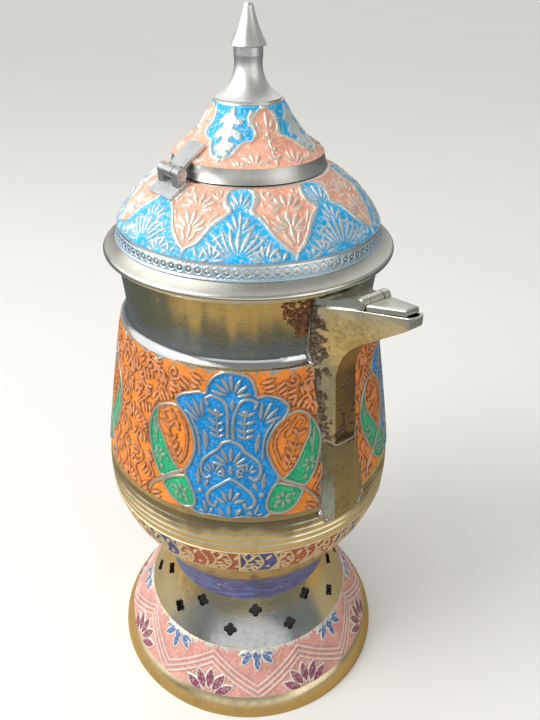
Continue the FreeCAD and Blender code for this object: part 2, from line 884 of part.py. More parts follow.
def handle_rivets():
    """One rivet through each socket, with a flat head at each end."""
    end = handle_radius + socket_wall + running_clearance
    rivets = []
    for middle in rivet_middles():
        rivet = cross_rod(rivet_radius, -end, end)
        for side in (-1, 1):
            rivet = rivet.fuse(cross_rod(rivet_head_radius, side * end, side * (end + rivet_head_height)))
        rivet.translate(middle)
        rivets.append(rivet)
    return Part.makeCompound(rivets)


def build():
    upper_socket, lower_socket = handle_sockets()
    nodes = {
        "foot_rim": foot_rim(),
        "foot_pedestal": foot_pedestal(),
        "foot_collar": foot_collar(),
        "bowl_base": bowl_base(),
        "belly_ring": belly_ring(),
        "body_wall": body_wall(),
        "neck": neck(),
        "mouth_ring": mouth_ring(),
        "spout_top_plate": spout_top_plate(),
        "spout_flap": spout_flap(),
        "flap_pin": flap_pin(),
        "cover_flange": cover_flange(),
        "cover_collar": cover_collar(),
        "dome_border": dome_border(),
        "dome": dome(),
        "throat_ring": throat_ring(),
        "dome_hinge_leaf": dome_hinge_leaf(),
        "lid_hinge_pin": lid_hinge_pin(),
        "lid_band": lid_band(),
        "lid_cone": lid_cone(),
        "finial": finial(),
        "finial_nut": finial_nut(),
        "lid_hinge_leaf": lid_hinge_leaf(),
        "handle_bar": handle_bar(),
        "handle_upper_bracket": handle_bracket(*upper_socket),
        "handle_lower_bracket": handle_bracket(*lower_socket),
        "handle_rivets": handle_rivets(),
    }
    nodes.update(spout_pieces())
    return nodes


os.makedirs("parts", exist_ok=True)
for name, shape in build().items():
    shape.exportStep("parts/" + name + ".step")
    print(name, "solids", len(shape.Solids), "volume", round(shape.Volume, 1), "valid", shape.isValid())
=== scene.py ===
"""Looks of an enamelled brass dallah coffee pot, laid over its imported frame.

Ornament is drawn in millimetres, because that is the scale a maker works it at. Meshes are in metres.
"""
import json
import math

import bmesh
import bpy
import numpy as np
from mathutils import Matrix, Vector

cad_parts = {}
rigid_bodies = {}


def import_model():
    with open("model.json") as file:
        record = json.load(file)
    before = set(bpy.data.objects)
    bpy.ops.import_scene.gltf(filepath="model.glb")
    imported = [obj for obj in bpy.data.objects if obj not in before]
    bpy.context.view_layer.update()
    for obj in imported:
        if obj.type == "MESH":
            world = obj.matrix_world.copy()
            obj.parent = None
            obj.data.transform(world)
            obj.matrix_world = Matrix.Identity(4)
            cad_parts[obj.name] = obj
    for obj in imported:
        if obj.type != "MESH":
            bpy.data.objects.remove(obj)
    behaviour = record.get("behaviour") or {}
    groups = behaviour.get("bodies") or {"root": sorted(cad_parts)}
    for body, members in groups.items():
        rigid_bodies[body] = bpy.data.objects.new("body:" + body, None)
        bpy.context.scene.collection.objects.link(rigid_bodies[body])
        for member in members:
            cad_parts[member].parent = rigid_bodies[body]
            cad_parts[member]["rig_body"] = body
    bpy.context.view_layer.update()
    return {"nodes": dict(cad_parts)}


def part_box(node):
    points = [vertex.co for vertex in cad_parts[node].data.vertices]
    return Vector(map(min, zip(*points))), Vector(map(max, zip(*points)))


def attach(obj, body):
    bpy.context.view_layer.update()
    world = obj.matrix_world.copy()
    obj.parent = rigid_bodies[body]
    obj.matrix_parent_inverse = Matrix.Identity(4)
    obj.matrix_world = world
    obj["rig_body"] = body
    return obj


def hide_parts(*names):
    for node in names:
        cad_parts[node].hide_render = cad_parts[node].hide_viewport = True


bl_info = {
    "name": "Enamelled dallah",
    "version": (1, 0, 0),
    "blender": (4, 5, 0),
    "location": "View3D > Sidebar > Dallah",
    "description": "Enamel, metal finishes and stage of a dallah coffee pot",
    "category": "Add Mesh",
}

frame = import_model()

MM = 0.001


# Properties

def linear(red, green, blue):
    """Scene colour of a display colour given as three numbers up to 255."""
    shares = np.array([red, green, blue]) / 255
    return tuple(np.where(shares <= 0.04045, shares / 12.92, ((shares + 0.055) / 1.055) ** 2.4).tolist())


def colour(name, description, *display):
    return bpy.props.FloatVectorProperty(
        name=name, description=description, subtype="COLOR", min=0.0, max=1.0, default=linear(*display))


def length(name, description, millimetres):
    return bpy.props.FloatProperty(
        name=name, description=description, subtype="DISTANCE", unit="LENGTH", default=millimetres * MM)


def number(name, description, default, **options):
    return bpy.props.FloatProperty(name=name, description=description, default=default, **options)


def angle(name, description, degrees):
    return bpy.props.FloatProperty(
        name=name, description=description, subtype="ANGLE", unit="ROTATION", default=math.radians(degrees))


class DallahColours(bpy.types.PropertyGroup):
    """Paints and metals of the pot"""

    orange: colour("Orange enamel", "Ground of the wall", 228, 130, 42)
    # Salmon is also the tint of the painted highlight on the crests of the wall's field lines
    salmon: colour("Salmon enamel", "Orange of the dome and lid", 240, 166, 138)
    blue: colour("Blue enamel", "Medallions of the wall", 0, 134, 204)
    sky: colour("Sky blue enamel", "Blue of the dome and lid", 0, 172, 230)
    green: colour("Green enamel", "Crescents and drops of the wall", 26, 168, 112)
    pink: colour("Pink paint", "Ground of the foot's painted zone", 212, 150, 138)
    purple: colour("Purple paint", "Lotus petals of the foot", 140, 76, 96)
    petal: colour("Petal blue paint", "Hanging flowers of the foot", 84, 108, 158)
    lilac: colour("Lilac paint", "Ring under the bowl", 66, 72, 110)
    brick: colour("Brick enamel", "Orange of the bowl's border", 170, 80, 46)
    navy: colour("Navy enamel", "Blue of the bowl's border", 48, 70, 124)
    border_line: colour("Border line", "Metal of the border's fronds", 240, 220, 182)
    line: colour("Raised line", "Metal of the raised ornament", 186, 190, 182)
    # Dark tint beside the raised lines and along the wall's foot
    dark_beside_lines: colour("Ink", "Dirt beside the raised lines", 40, 30, 24)
    # Grime on the raised metal; the same name is also the share of the tint beside raised lines, which on the
    # dome and lid is a painted highlight
    dirt_and_highlight: colour("Dirt", "Grime on the raised metal", 104, 98, 84)
    gold: colour("Gold brass", "Foot rim, bowl, handle and the upper pierced foot", 226, 208, 168)
    brass: colour("Polished brass", "Neck", 212, 198, 158)
    spout: colour("Spout brass", "Yellow brass of the spout", 240, 230, 188)
    # Darker brass of the spout's front: browning, darkened further as painted shade where the front faces
    # away from the light
    strip: colour("Strip brass", "Browned brass of the spout's front", 168, 138, 98)
    heel: colour("Heel brass", "Stained brass on the front of the spout's heel", 184, 174, 138)
    # Pale tint that paints reflections in the neck's cove and on the lower pierced foot
    shell: colour("Shell brass", "Silvery brass of the lower pierced foot and the neck's cove", 216, 218, 216)
    silver: colour("Silver", "Bright silvering of the finial", 250, 250, 246)
    band: colour("Band", "Satin metal of the lid's band", 212, 212, 204)
    # Darker brass just under the wall: painted shade
    under_wall_shade: colour("Smoke", "Dark brass of the belly, under the wall", 150, 146, 130)
    belly: colour("Belly", "Dull brass of the belly", 230, 222, 198)
    # On the heel's near side this tint paints a highlight
    stamped: colour("Stamped metal", "Silvered border of the cover, rubbed side of the heel", 200, 222, 236)
    bead: colour("Solder bead", "Bright solder on the seams", 196, 194, 190)
    # Pale is also painted as a highlight on the foot's ridge crests and beside the raised lines of the dome
    # and lid
    pale: colour("Pale brass", "Flange, rims, flap and worn raised lines", 236, 234, 220)
    grey: colour("Grey brass", "Worn hinge leaves, pins and nut", 212, 214, 214)
    crust: colour("Crust", "Brown deposit beside the spout", 112, 72, 46)
    solder: colour("Solder", "Grey stain at the spout's root", 158, 148, 148)
    soot: colour("Soot", "Burnt brass over the spout's heel", 86, 66, 38)


class DallahSizes(bpy.types.PropertyGroup):
    """Sizes of the ornament"""

    pitch: length("Grid pitch", "Distance between neighbouring points of the ornament", 0.3)
    raised: length("Raised line", "Height of the raised lines over the enamel", 0.6)
    coat: length("Coat", "Thickness of the enamel over the metal", 0.12)
    backing: length("Backing", "Depth to which a coat is closed inside the metal", 0.3)
    wall_bulge: length("Wall bulge", "Rise of the wall's arc over its chord", 0.25)
    dome_bulge: length("Dome bulge", "Rise of the dome's arc over its chord", 2.7)
    cone_hollow: length("Lid hollow", "Depth of the lid's arc under its chord", 2.0)
    foot_hollow: length("Foot hollow", "Depth of the foot's arc under its chord", 1.1)
    bowl_bulge: length("Bowl bulge", "Rise of the bowl's arc over its chord", 2.3)
    neck_flare: length("Neck flare", "Growth of the neck's radius from its cove to the mouth", 2.2)
    neck_cove: length("Neck cove", "Height of the cove between wall and neck", 3.7)
    root_low: length("Low root", "Half-width of the spout's root under the heel", 11.8)
    root_seam: length("Seam root", "Half-width of the spout's root at the heel's seam", 9.0)
    root_shoulder: length("Shoulder root", "Half-width of the spout's root at the shoulder", 10.2)
    root_high: length("High root", "Half-width of the spout's root at the mouth", 11.2)
    medallion_turn: angle("Medallion turn", "Azimuth of a medallion's middle", -43.4)
    dome_turn: angle("Dome turn", "Azimuth of a blue head on the dome", -40.7)
    lid_turn: angle("Lid turn", "Azimuth of an orange head on the lid", -15.5)
    foot_turn: angle("Foot turn", "Azimuth of a hanging flower on the foot", -32.5)
    border_turn: angle("Border turn", "Azimuth of a blue field on the bowl's border", -32.6)


class DallahStage(bpy.types.PropertyGroup):
    """Camera and light"""

    reach: length("Camera reach", "Distance of the camera from the pot's axis", 255.2)
    rise: length("Camera height", "Height of the camera over the floor", 313.1)
    turn: angle("Camera turn", "Azimuth of the camera", -37.0)
    pitch: angle("Camera pitch", "Tilt of the camera below the level", 31.03)
    lens: number("Lens", "Focal length", 33.63, subtype="DISTANCE_CAMERA")
    shift: number("Shift", "Sideways shift of the picture", 0.03)
    key: number("Key light", "Power of the key light", 9.0)
    fill: number("Fill light", "Power of the fill light", 1.4)
    room_low: number("Room low", "Room's light from its dim side", 0.2)
    room_high: number("Room high", "Room's light from its bright side", 1.1)
    mirror_low: number("Mirrored room", "Dim room in reflections", 0.28)
    mirror_high: number("Mirrored window", "Left window in reflections", 1.3)
    mirror_behind: number("Mirrored low window", "Low window behind the camera in reflections", 0.85)
    mirror_ahead: number("Mirrored back wall", "Wall behind the pot in reflections", 0.75)
    floor: colour("Floor", "Colour of the floor", 236, 234, 229)
    near: length("Near floor", "Distance to which the floor is warm in reflections", 286)
    far: length("Far floor", "Distance from which the floor is dark in reflections", 304)
    floor_near: colour("Near mirrored floor", "Colour of the near floor in reflections", 188, 166, 118)
    floor_far: colour("Far mirrored floor", "Colour of the far floor in reflections", 82, 92, 96)


def colours():
    return bpy.context.scene.dallah_colours


def sizes():
    return bpy.context.scene.dallah_sizes


# Drawing with signed distances, in millimetres, over whole arrays of points

def inside(edge, softness=0.3):
    """1 inside an outline and 0 outside, with a soft step over the edge."""
    return np.clip(0.5 - edge / softness, 0.0, 1.0)


def mixed(first, second, share):
    return first + (second - first) * share


def ripple(x, waves):
    """Sum of sine waves, each given by its height, its rate and its shift."""
    return sum(height * np.sin(rate * x + shift) for height, rate, shift in waves)


def disc(x, y, centre, radius):
    return np.hypot(x - centre[0], y - centre[1]) - radius


def straight(x, y, start, end):
    """Distance to the straight run from start to end."""
    dx = end[0] - start[0]
    dy = end[1] - start[1]
    share = np.clip(((x - start[0]) * dx + (y - start[1]) * dy) / (dx * dx + dy * dy), 0.0, 1.0)
    return np.hypot(x - start[0] - share * dx, y - start[1] - share * dy)


def stroke(x, y, points, half):
    """Signed distance to a stroke of a given half-width along a row of points."""
    return np.minimum.reduce([straight(x, y, a, b) for a, b in zip(points, points[1:])]) - half


def flowing(points, closed=False, steps=5):
    """Points of a smooth curve: each span is the cubic whose end slopes join the neighbours of its ends."""
    before, after = (points[-1:], points[:2]) if closed else (points[:1], points[-1:])
    row = np.array([*before, *points, *after], float)
    t = np.linspace(0.0, 1.0, steps, endpoint=False)[:, None]
    spans = []
    for a, b, c, d in zip(row, row[1:], row[2:], row[3:]):
        bend = (2 * a - 5 * b + 4 * c - d) * t ** 2 + (3 * b - a - 3 * c + d) * t ** 3
        spans.append(b + ((c - a) * t + bend) / 2)
    return np.vstack(spans + [row[-2:-1]])


def shape(x, y, points):
    """Signed distance to a smooth closed outline: a point is inside when its level line crosses it an odd
    number of times on the right."""
    row = flowing(points, closed=True)
    odd = np.zeros(x.shape, bool)
    for (x0, y0), (x1, y1) in zip(row, row[1:]):
        spans = (y0 > y) != (y1 > y)
        slope = (x1 - x0) / (y1 - y0) if y1 != y0 else 0.0
        odd ^= spans & (x < x0 + (y - y0) * slope)
    return np.where(odd, -1.0, 1.0) * stroke(x, y, row, 0.0)


def curl(centre, radius, start, turns, steps=14):
    """Points of a spiral that winds in evenly to a fifth of its radius; turns below 0 wind clockwise."""
    t = np.linspace(0.0, 1.0, steps)
    turn = math.radians(start) + 2 * math.pi * turns * t
    reach = radius * (1 - 0.8 * t)
    return np.column_stack([centre[0] + reach * np.cos(turn), centre[1] + reach * np.sin(turn)])


def leaf(x, y, foot, tip, half):
    """Signed distance, near enough, to a leaf whose half-width at the share a is 4 a (1 - a) times half."""
    dx = tip[0] - foot[0]
    dy = tip[1] - foot[1]
    span = math.hypot(dx, dy)
    along = ((x - foot[0]) * dx + (y - foot[1]) * dy) / span ** 2
    across = np.abs((x - foot[0]) * dy - (y - foot[1]) * dx) / span
    share = np.clip(along, 0.0, 1.0)
    edge = across - 4 * half * share * (1 - share)
    beyond = np.abs(along - share) * span
    return np.where(beyond > 0, np.hypot(np.maximum(edge, 0), beyond), edge)


def fan(x, y, foot, heading, spread, count, reach, half, outer=0.65):
    """Signed distance to leaves that spread evenly about a heading in degrees.

    The outermost leaves reach only as far as the share outer of the middle one.
    """
    leaves = []
    for side in np.linspace(-1.0, 1.0, count):
        turn = math.radians(heading + spread * side)
        far = reach * (1 - (1 - outer) * abs(side))
        near = 0.22 * far
        start = (foot[0] + near * math.cos(turn), foot[1] + near * math.sin(turn))
        end = (foot[0] + far * math.cos(turn), foot[1] + far * math.sin(turn))
        leaves.append(leaf(x, y, start, end, half))
    return np.minimum.reduce(leaves)


def frond(x, y, points, lean, count, reach, half):
    """Signed distance to a curved stem with leaves that lean to one side of it by an angle in degrees."""
    row = flowing(points)
    parts = [stroke(x, y, row, half * 0.6)]
    for index in np.linspace(0, len(row) - 2, count).astype(int):
        run = row[index + 1] - row[index]
        turn = math.atan2(run[1], run[0]) + math.radians(lean)
        end = row[index] + reach * np.array([math.cos(turn), math.sin(turn)])
        parts.append(leaf(x, y, row[index], end, half))
    return np.minimum.reduce(parts)


def spray(x, y, foot, tip, pairs, reach, half):
    """Signed distance to a stem with pairs of leaves that lean towards its tip, and one leaf on its end."""
    foot = np.array(foot, float)
    tip = np.array(tip, float)
    heading = math.degrees(math.atan2(*(tip - foot)[::-1]))
    parts = [stroke(x, y, [foot, tip], half * 0.55), leaf(x, y, tip, tip + (tip - foot) / (pairs + 1), half)]
    for share in np.linspace(0.2, 0.9, pairs):
        place = foot + (tip - foot) * share
        for lean in (-48, 48):
            turn = math.radians(heading + lean)
            size = reach * (1.1 - 0.5 * share)
            end = place + size * np.array([math.cos(turn), math.sin(turn)])
            parts.append(leaf(x, y, place, end, half))
    return np.minimum.reduce(parts)


def hatch(x, y, foot, heading, count, reach, half):
    """Signed distance to leaves side by side, all at one heading in degrees, the later ones shorter."""
    turn = math.radians(heading)
    way = np.array([math.cos(turn), math.sin(turn)])
    aside = np.array([way[1], -way[0]]) * 2.9 * half
    leaves = []
    for index in range(count):
        start = np.array(foot) + aside * index
        leaves.append(leaf(x, y, start, start + way * reach * (1 - 0.12 * index), half))
    return np.minimum.reduce(leaves)


def unsteady(azimuth, height, reach):
    """Small smooth waves round a turned surface, as a hand leaves them: two shifts in millimetres."""
    along = np.sin(9 * azimuth + 0.35 * height) + np.sin(23 * azimuth - 0.21 * height + 1.7)
    up = np.sin(13 * azimuth - 0.3 * height + 0.6) + np.sin(31 * azimuth + 0.17 * height)
    return reach * along, reach * up


def nearest(*edges):
    return np.minimum.reduce(edges)


def within(region, edge):
    """Signed distance to what two outlines share."""
    return np.maximum(region, edge)


class Coat:
    """Paint colour, bare-metal share and relief of a surface, kept as whole arrays."""

    def __init__(self, shape, paint, beside=None):
        self.beside = np.array(colours().dark_beside_lines if beside is None else beside)
        self.paint = np.broadcast_to(np.array(paint), shape + (3,)).copy()
        self.bare = np.zeros(shape)
        self.relief = np.full(shape, sizes().coat / MM)

    def fill(self, edge, paint):
        self.paint = mixed(self.paint, np.array(paint), inside(edge)[..., None])

    def raise_lines(self, edge, share=1.0, bare=1.0, dirt_and_highlight=0.6, spread=0.34):
        """Raise what lies inside an edge by a share, tint the enamel beside it and bare its metal. The tint
        beside is darkest next to the lines; where beside is pale, as on the dome and lid, it is a painted
        highlight.
        """
        shade = np.exp(-((edge - spread / 3) / spread) ** 2) * dirt_and_highlight * share
        self.paint = mixed(self.paint, self.beside, shade[..., None])
        crest = inside(edge, 0.5)
        crest = crest * crest * (3 - 2 * crest) * share
        self.relief = np.maximum(self.relief, sizes().coat / MM + crest * sizes().raised / MM)
        self.bare = np.maximum(self.bare, inside(edge, 0.35) * bare)


# Meshes

QUARTERS = 4
QUARTER = 2 * math.pi / QUARTERS


def outer_rim(node, top):
    """Outer radius and height, in millimetres, of a turned node's upper or lower edge."""
    mesh = frame["nodes"][node].data
    points = np.empty(len(mesh.vertices) * 3)
    mesh.vertices.foreach_get("co", points)
    points = points.reshape(-1, 3) / MM
    height = points[:, 2].max() if top else points[:, 2].min()
    edge = points[np.abs(points[:, 2] - height) < 0.01]
    return np.array([np.hypot(edge[:, 0], edge[:, 1]).max(), height])


def arc_profile(lower, upper, bulge, share):
    """Radii and heights on a flat arc: the chord at each share s, moved out by 4 s (1 - s) bulge."""
    chord = upper - lower
    normal = np.array([chord[1], -chord[0]]) / np.hypot(*chord)
    points = lower + chord * share[:, None] + normal * (4 * bulge * share * (1 - share))[:, None]
    return points[:, 0], points[:, 1]


def node_profile(node, bulge, low=0.0, high=1.0):
    """Outer arc of a turned node between two shares of its chord, at the grid's pitch."""
    lower = outer_rim(node, False)
    upper = outer_rim(node, True)
    rows = int(np.hypot(*(upper - lower)) * (high - low) * MM / sizes().pitch) + 2
    return arc_profile(lower, upper, bulge / MM, np.linspace(low, high, rows))


def arc_length(radius, height):
    return np.concatenate([[0.0], np.cumsum(np.hypot(np.diff(radius), np.diff(height)))])


def grid_faces(rows, columns, wrap_rows, wrap_columns):
    """Corner numbers of the quads of a grid, outward when rows climb and columns turn to the left."""
    i = np.arange(rows if wrap_rows else rows - 1)[:, None]
    j = np.arange(columns if wrap_columns else columns - 1)[None, :]
    up = (i + 1) % rows
    along = (j + 1) % columns
    corners = [i * columns + j, i * columns + along, up * columns + along, up * columns + j]
    shape = (i.size, j.size)
    return np.stack([np.broadcast_to(corner, shape) for corner in corners], -1).reshape(-1, 4)


def new_object(name, data):
    """Object at the origin, shown in the scene."""
    made = bpy.data.objects.new(name, data)
    bpy.context.scene.collection.objects.link(made)
    return made


def new_piece(name, points, faces, body, material, sharp):
    """Piece from points in millimetres, riding on a body.

    Edges that turn by more than the angle sharp, in degrees, stay hard.
    """
    mesh = bpy.data.meshes.new(name)
    mesh.from_pydata((points * MM).tolist(), [], faces)
    mesh.shade_smooth()
    mesh.set_sharp_from_angle(angle=math.radians(sharp))
    mesh.materials.append(material)
    piece = new_object(name, mesh)
    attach(piece, body)
    return piece


BACK_ROWS = 8
COAT_SHARP = 75.0


def turned_coat(name, profile, azimuth, coat, body, material):
    """Closed coat over a turned surface.

    The point at row i and column j is the profile's point i turned to azimuth j, pushed out along the
    profile's normal by the relief there. A few rows inside the metal close the coat behind, and each end
    of a part turn is closed by one flat face.
    """
    radius, height = profile
    run = np.gradient(radius)
    rise = np.gradient(height)
    slope = np.hypot(run, rise)
    out = (rise / slope)[:, None]
    up = (-run / slope)[:, None]
    behind = np.linspace(radius.size - 1, 0, BACK_ROWS).astype(int)
    depth = np.full((BACK_ROWS, azimuth.size), -sizes().backing / MM)
    order = np.concatenate([np.arange(radius.size), behind])
    offset = np.vstack([coat.relief, depth])
    reach = radius[order, None] + offset * out[order]
    level = height[order, None] + offset * up[order]
    rows, columns = reach.shape
    points = np.stack([reach * np.cos(azimuth), reach * np.sin(azimuth), level], -1).reshape(-1, 3)
    whole = np.isclose(azimuth[-1] - azimuth[0] + azimuth[1] - azimuth[0], 2 * math.pi)
    faces = grid_faces(rows, columns, True, whole).tolist()
    if not whole:
        first = np.arange(rows) * columns
        faces.append(first.tolist())
        faces.append((first + columns - 1)[::-1].tolist())
    piece = new_piece(name, points, faces, body, material, COAT_SHARP)
    bare = coat.bare[order]
    tint = np.concatenate([coat.paint[order], np.ones(bare.shape + (1,))], -1)
    store = piece.data.attributes.new("paint", "FLOAT_COLOR", "POINT")
    store.data.foreach_set("color", tint.astype(np.float32).ravel())
    store = piece.data.attributes.new("bare", "FLOAT", "POINT")
    store.data.foreach_set("value", bare.astype(np.float32).ravel())


def part_turn(start, end, radius):
    """Azimuths, in radians, from start to end at the grid's pitch on a radius in millimetres."""
    steps = int((end - start) * radius * MM / sizes().pitch) + 2
    return np.linspace(start, end, steps)


def whole_turn(radius):
    steps = int(2 * math.pi * radius * MM / sizes().pitch)
    return np.linspace(0.0, 2 * math.pi, steps, endpoint=False)


def repeat_offset(azimuth, middle, count):
    """Angle from the nearest of count even middles, from minus to plus half a repeat."""
    step = 2 * math.pi / count
    return (azimuth - middle + step / 2) % step - step / 2


MERGE_REACH = 2e-6
FLAT_ANGLE = math.radians(1)
SHARP_ANGLE = math.radians(30)


def softened(node, name, width, material, share=None):
    """Copy of a node with its doubles merged, flat faces joined and sharp edges rounded over a width.

    Where share is given, it tells from an edge's two ends what share of the width rounds that edge.
    """
    source = frame["nodes"][node]
    mesh = source.data.copy()
    work = bmesh.new()
    work.from_mesh(mesh)
    bmesh.ops.remove_doubles(work, verts=work.verts, dist=MERGE_REACH)
    bmesh.ops.dissolve_limit(work, angle_limit=FLAT_ANGLE, verts=work.verts, edges=work.edges)
    weight = work.edges.layers.float.new("bevel_weight_edge")
    for edge in work.edges:
        sharp = edge.calc_face_angle(0.0) > SHARP_ANGLE
        ends = [vert.co for vert in edge.verts]
        edge[weight] = (share(*ends) if share else 1.0) if sharp else 0.0
    work.to_mesh(mesh)
    work.free()
    mesh.name = name
    mesh.materials.clear()
    mesh.materials.append(material)
    mesh.shade_smooth()
    mesh.set_sharp_from_angle(angle=SHARP_ANGLE)
    piece = new_object(name, mesh)
    bevel = piece.modifiers.new("rounded edges", "BEVEL")
    bevel.width = width * MM
    bevel.segments = 2
    bevel.limit_method = "WEIGHT"
    bevel.harden_normals = True
    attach(piece, source["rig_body"])
    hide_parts(node)
    return piece


def finish_nodes(material, *nodes):
    """Give shown CAD nodes a material."""
    for node in nodes:
        for slot in frame["nodes"][node].material_slots:
            slot.material = material


# Shader parts

def wire(tree, value, socket):
    if isinstance(value, bpy.types.NodeSocket):
        tree.links.new(value, socket)
    else:
        socket.default_value = value


def put(tree, kind, settings=None, **sockets):
    """Add a node with its own settings, and set or link its named sockets."""
    made = tree.nodes.new(kind)
    for key, value in (settings or {}).items():
        setattr(made, key, value)
    for key, value in sockets.items():
        wire(tree, value, made.inputs[key.replace("_", " ")])
    return made


def sums(tree, operation, first, second=0.0, clamp=False):
    made = put(tree, "ShaderNodeMath", {"operation": operation, "use_clamp": clamp})
    wire(tree, first, made.inputs[0])
    wire(tree, second, made.inputs[1])
    return made.outputs[0]


def tinted(tree, share, first, second, blend="MIX"):
    made = put(tree, "ShaderNodeMix", {"data_type": "RGBA", "blend_type": blend})
    wire(tree, share, made.inputs[0])
    wire(tree, first, made.inputs[6])
    wire(tree, second, made.inputs[7])
    return made.outputs[2]


def ranged(tree, value, low, high, new_low=0.0, new_high=1.0):
    made = put(tree, "ShaderNodeMapRange", {"clamp": True}, Value=value, From_Min=low, From_Max=high,
               To_Min=new_low, To_Max=new_high)
    return made.outputs[0]


def own_place(tree):
    """The piece's own coordinates."""
    return put(tree, "ShaderNodeTexCoord").outputs["Object"]


def axes(tree, vector):
    return put(tree, "ShaderNodeSeparateXYZ", Vector=vector).outputs


def noise(tree, scale, detail=4.0, stretch=None):
    """Noise on the piece's own coordinates, finer along the axes that stretch multiplies."""
    place = own_place(tree)
    if stretch:
        place = put(tree, "ShaderNodeMapping", Vector=place, Scale=stretch).outputs[0]
    return put(tree, "ShaderNodeTexNoise", Vector=place, Scale=scale, Detail=detail).outputs["Fac"]


def cloudy(tree, scale, low, high, detail=4.0):
    """Noise spread between two values."""
    return ranged(tree, noise(tree, scale, detail), 0.3, 0.7, low, high)


def new_group(name, inputs, outputs):
    """Empty shader group with named sockets: returns the tree, its inner inputs and its inner outputs."""
    tree = bpy.data.node_groups.new(name, "ShaderNodeTree")
    for label, kind, default in inputs:
        tree.interface.new_socket(label, in_out="INPUT", socket_type=kind).default_value = default
    for label, kind in outputs:
        tree.interface.new_socket(label, in_out="OUTPUT", socket_type=kind)
    return tree, tree.nodes.new("NodeGroupInput").outputs, tree.nodes.new("NodeGroupOutput").inputs


def tarnish_group():
    """Cloudy browning and dulling of metal: two noises of different size pick where it shows."""
    tree, into, out = new_group(
        "tarnish",
        [("Colour", "NodeSocketColor", (1, 1, 1, 1)), ("Stain", "NodeSocketColor", (0.1, 0.07, 0.03, 1)),
         ("Scale", "NodeSocketFloat", 40.0), ("Amount", "NodeSocketFloat", 0.5)],
        [("Colour", "NodeSocketColor"), ("Mask", "NodeSocketFloat")])
    broad = ranged(tree, noise(tree, into["Scale"]), 0.42, 0.72)
    fine = ranged(tree, noise(tree, sums(tree, "MULTIPLY", into["Scale"], 9.0)), 0.35, 0.7)
    mask = sums(tree, "MULTIPLY", sums(tree, "MULTIPLY", broad, fine), into["Amount"], True)
    wire(tree, tinted(tree, mask, into["Colour"], into["Stain"]), out["Colour"])
    wire(tree, mask, out["Mask"])
    return tree


def turning_group():
    """Fine rings that a lathe leaves: bands stacked up the axis, broken up by noise."""
    tree, into, out = new_group(
        "turning rings", [("Scale", "NodeSocketFloat", 400.0)], [("Height", "NodeSocketFloat")])
    bands = put(tree, "ShaderNodeTexWave", {"bands_direction": "Z"}, Vector=own_place(tree),
                Scale=into["Scale"], Distortion=0.6, Detail=2.0, Detail_Scale=3.0).outputs["Fac"]
    grain = noise(tree, 1.0, 3.0, (30.0, 30.0, 2600.0))
    wire(tree, sums(tree, "ADD", sums(tree, "MULTIPLY", bands, 0.4), grain), out["Height"])
    return tree


def scratch_group():
    """Scratches: the thin middles of two long-drawn noises that lie across each other."""
    tree, into, out = new_group(
        "scratches", [("Scale", "NodeSocketFloat", 1.0)], [("Mask", "NodeSocketFloat")])
    masks = []
    for stretch in ((900.0, 700.0, 60.0), (120.0, 160.0, 900.0)):
        field = noise(tree, into["Scale"], 2.0, stretch)
        off_middle = sums(tree, "ABSOLUTE", sums(tree, "SUBTRACT", field, 0.5))
        masks.append(ranged(tree, off_middle, 0.0, 0.012, 1.0, 0.0))
    wire(tree, sums(tree, "MAXIMUM", *masks), out["Mask"])
    return tree


def chip_group():
    """Paint chipped and rubbed through to the metal: grainy spots, added to what is bare already."""
    tree, into, out = new_group(
        "paint chips",
        [("Bare", "NodeSocketFloat", 0.0), ("Scale", "NodeSocketFloat", 300.0),
         ("Amount", "NodeSocketFloat", 0.5)],
        [("Bare", "NodeSocketFloat"), ("Grain", "NodeSocketFloat")])
    grain = noise(tree, into["Scale"], 6.0)
    limit = sums(tree, "SUBTRACT", 0.86, sums(tree, "MULTIPLY", into["Amount"], 0.26))
    spots = ranged(tree, sums(tree, "SUBTRACT", grain, limit), 0.0, 0.05)
    wire(tree, sums(tree, "MAXIMUM", into["Bare"], spots), out["Bare"])
    wire(tree, grain, out["Grain"])
    return tree


GROUPS = {
    "tarnish": tarnish_group,
    "turning rings": turning_group,
    "scratches": scratch_group,
    "paint chips": chip_group,
}


def effect(tree, name, **sockets):
    """Place one of the shared groups, which is built the first time it is asked for."""
    made = tree.nodes.new("ShaderNodeGroup")
    made.node_tree = bpy.data.node_groups.get(name) or GROUPS[name]()
    for key, value in sockets.items():
        wire(tree, value, made.inputs[key])
    return made.outputs


def new_material(name):
    """Material with a bare Principled shader: returns the material, its tree and the shader's inputs."""
    material = bpy.data.materials.new(name)
    material.use_nodes = True
    tree = material.node_tree
    tree.nodes.clear()
    shader = tree.nodes.new("ShaderNodeBsdfPrincipled")
    output = tree.nodes.new("ShaderNodeOutputMaterial")
    tree.links.new(shader.outputs[0], output.inputs["Surface"])
    return material, tree, shader.inputs


def bump(tree, height, distance, strength=1.0):
    return put(tree, "ShaderNodeBump", Height=height, Distance=distance, Strength=strength).outputs[0]


BROWN_STAIN = (0.12, 0.08, 0.035)
OLIVE_STAIN = (0.1, 0.09, 0.065)
GREY_STAIN = (0.25, 0.23, 0.18)
DARK_STAIN = (0.07, 0.06, 0.06)
RING_SCALE = 420.0
SCRATCH_DEPTH = 0.00001
FADE_WAVE = 0.004


def faded(tree, upper, lower, start, end):
    """Tint that goes over from lower to upper between two heights, along a wavy border."""
    level = sums(tree, "ADD", axes(tree, own_place(tree))["Z"], cloudy(tree, 70.0, -FADE_WAVE, FADE_WAVE))
    return tinted(tree, ranged(tree, level, start, end), (*lower, 1.0), (*upper, 1.0))


def fade_at(node, top, tint, span):
    """Lower tint of a metal, and where it fades: a span in millimetres over a turned node's edge."""
    edge = outer_rim(node, top)[1]
    return tint, (edge + span[0]) * MM, (edge + span[1]) * MM


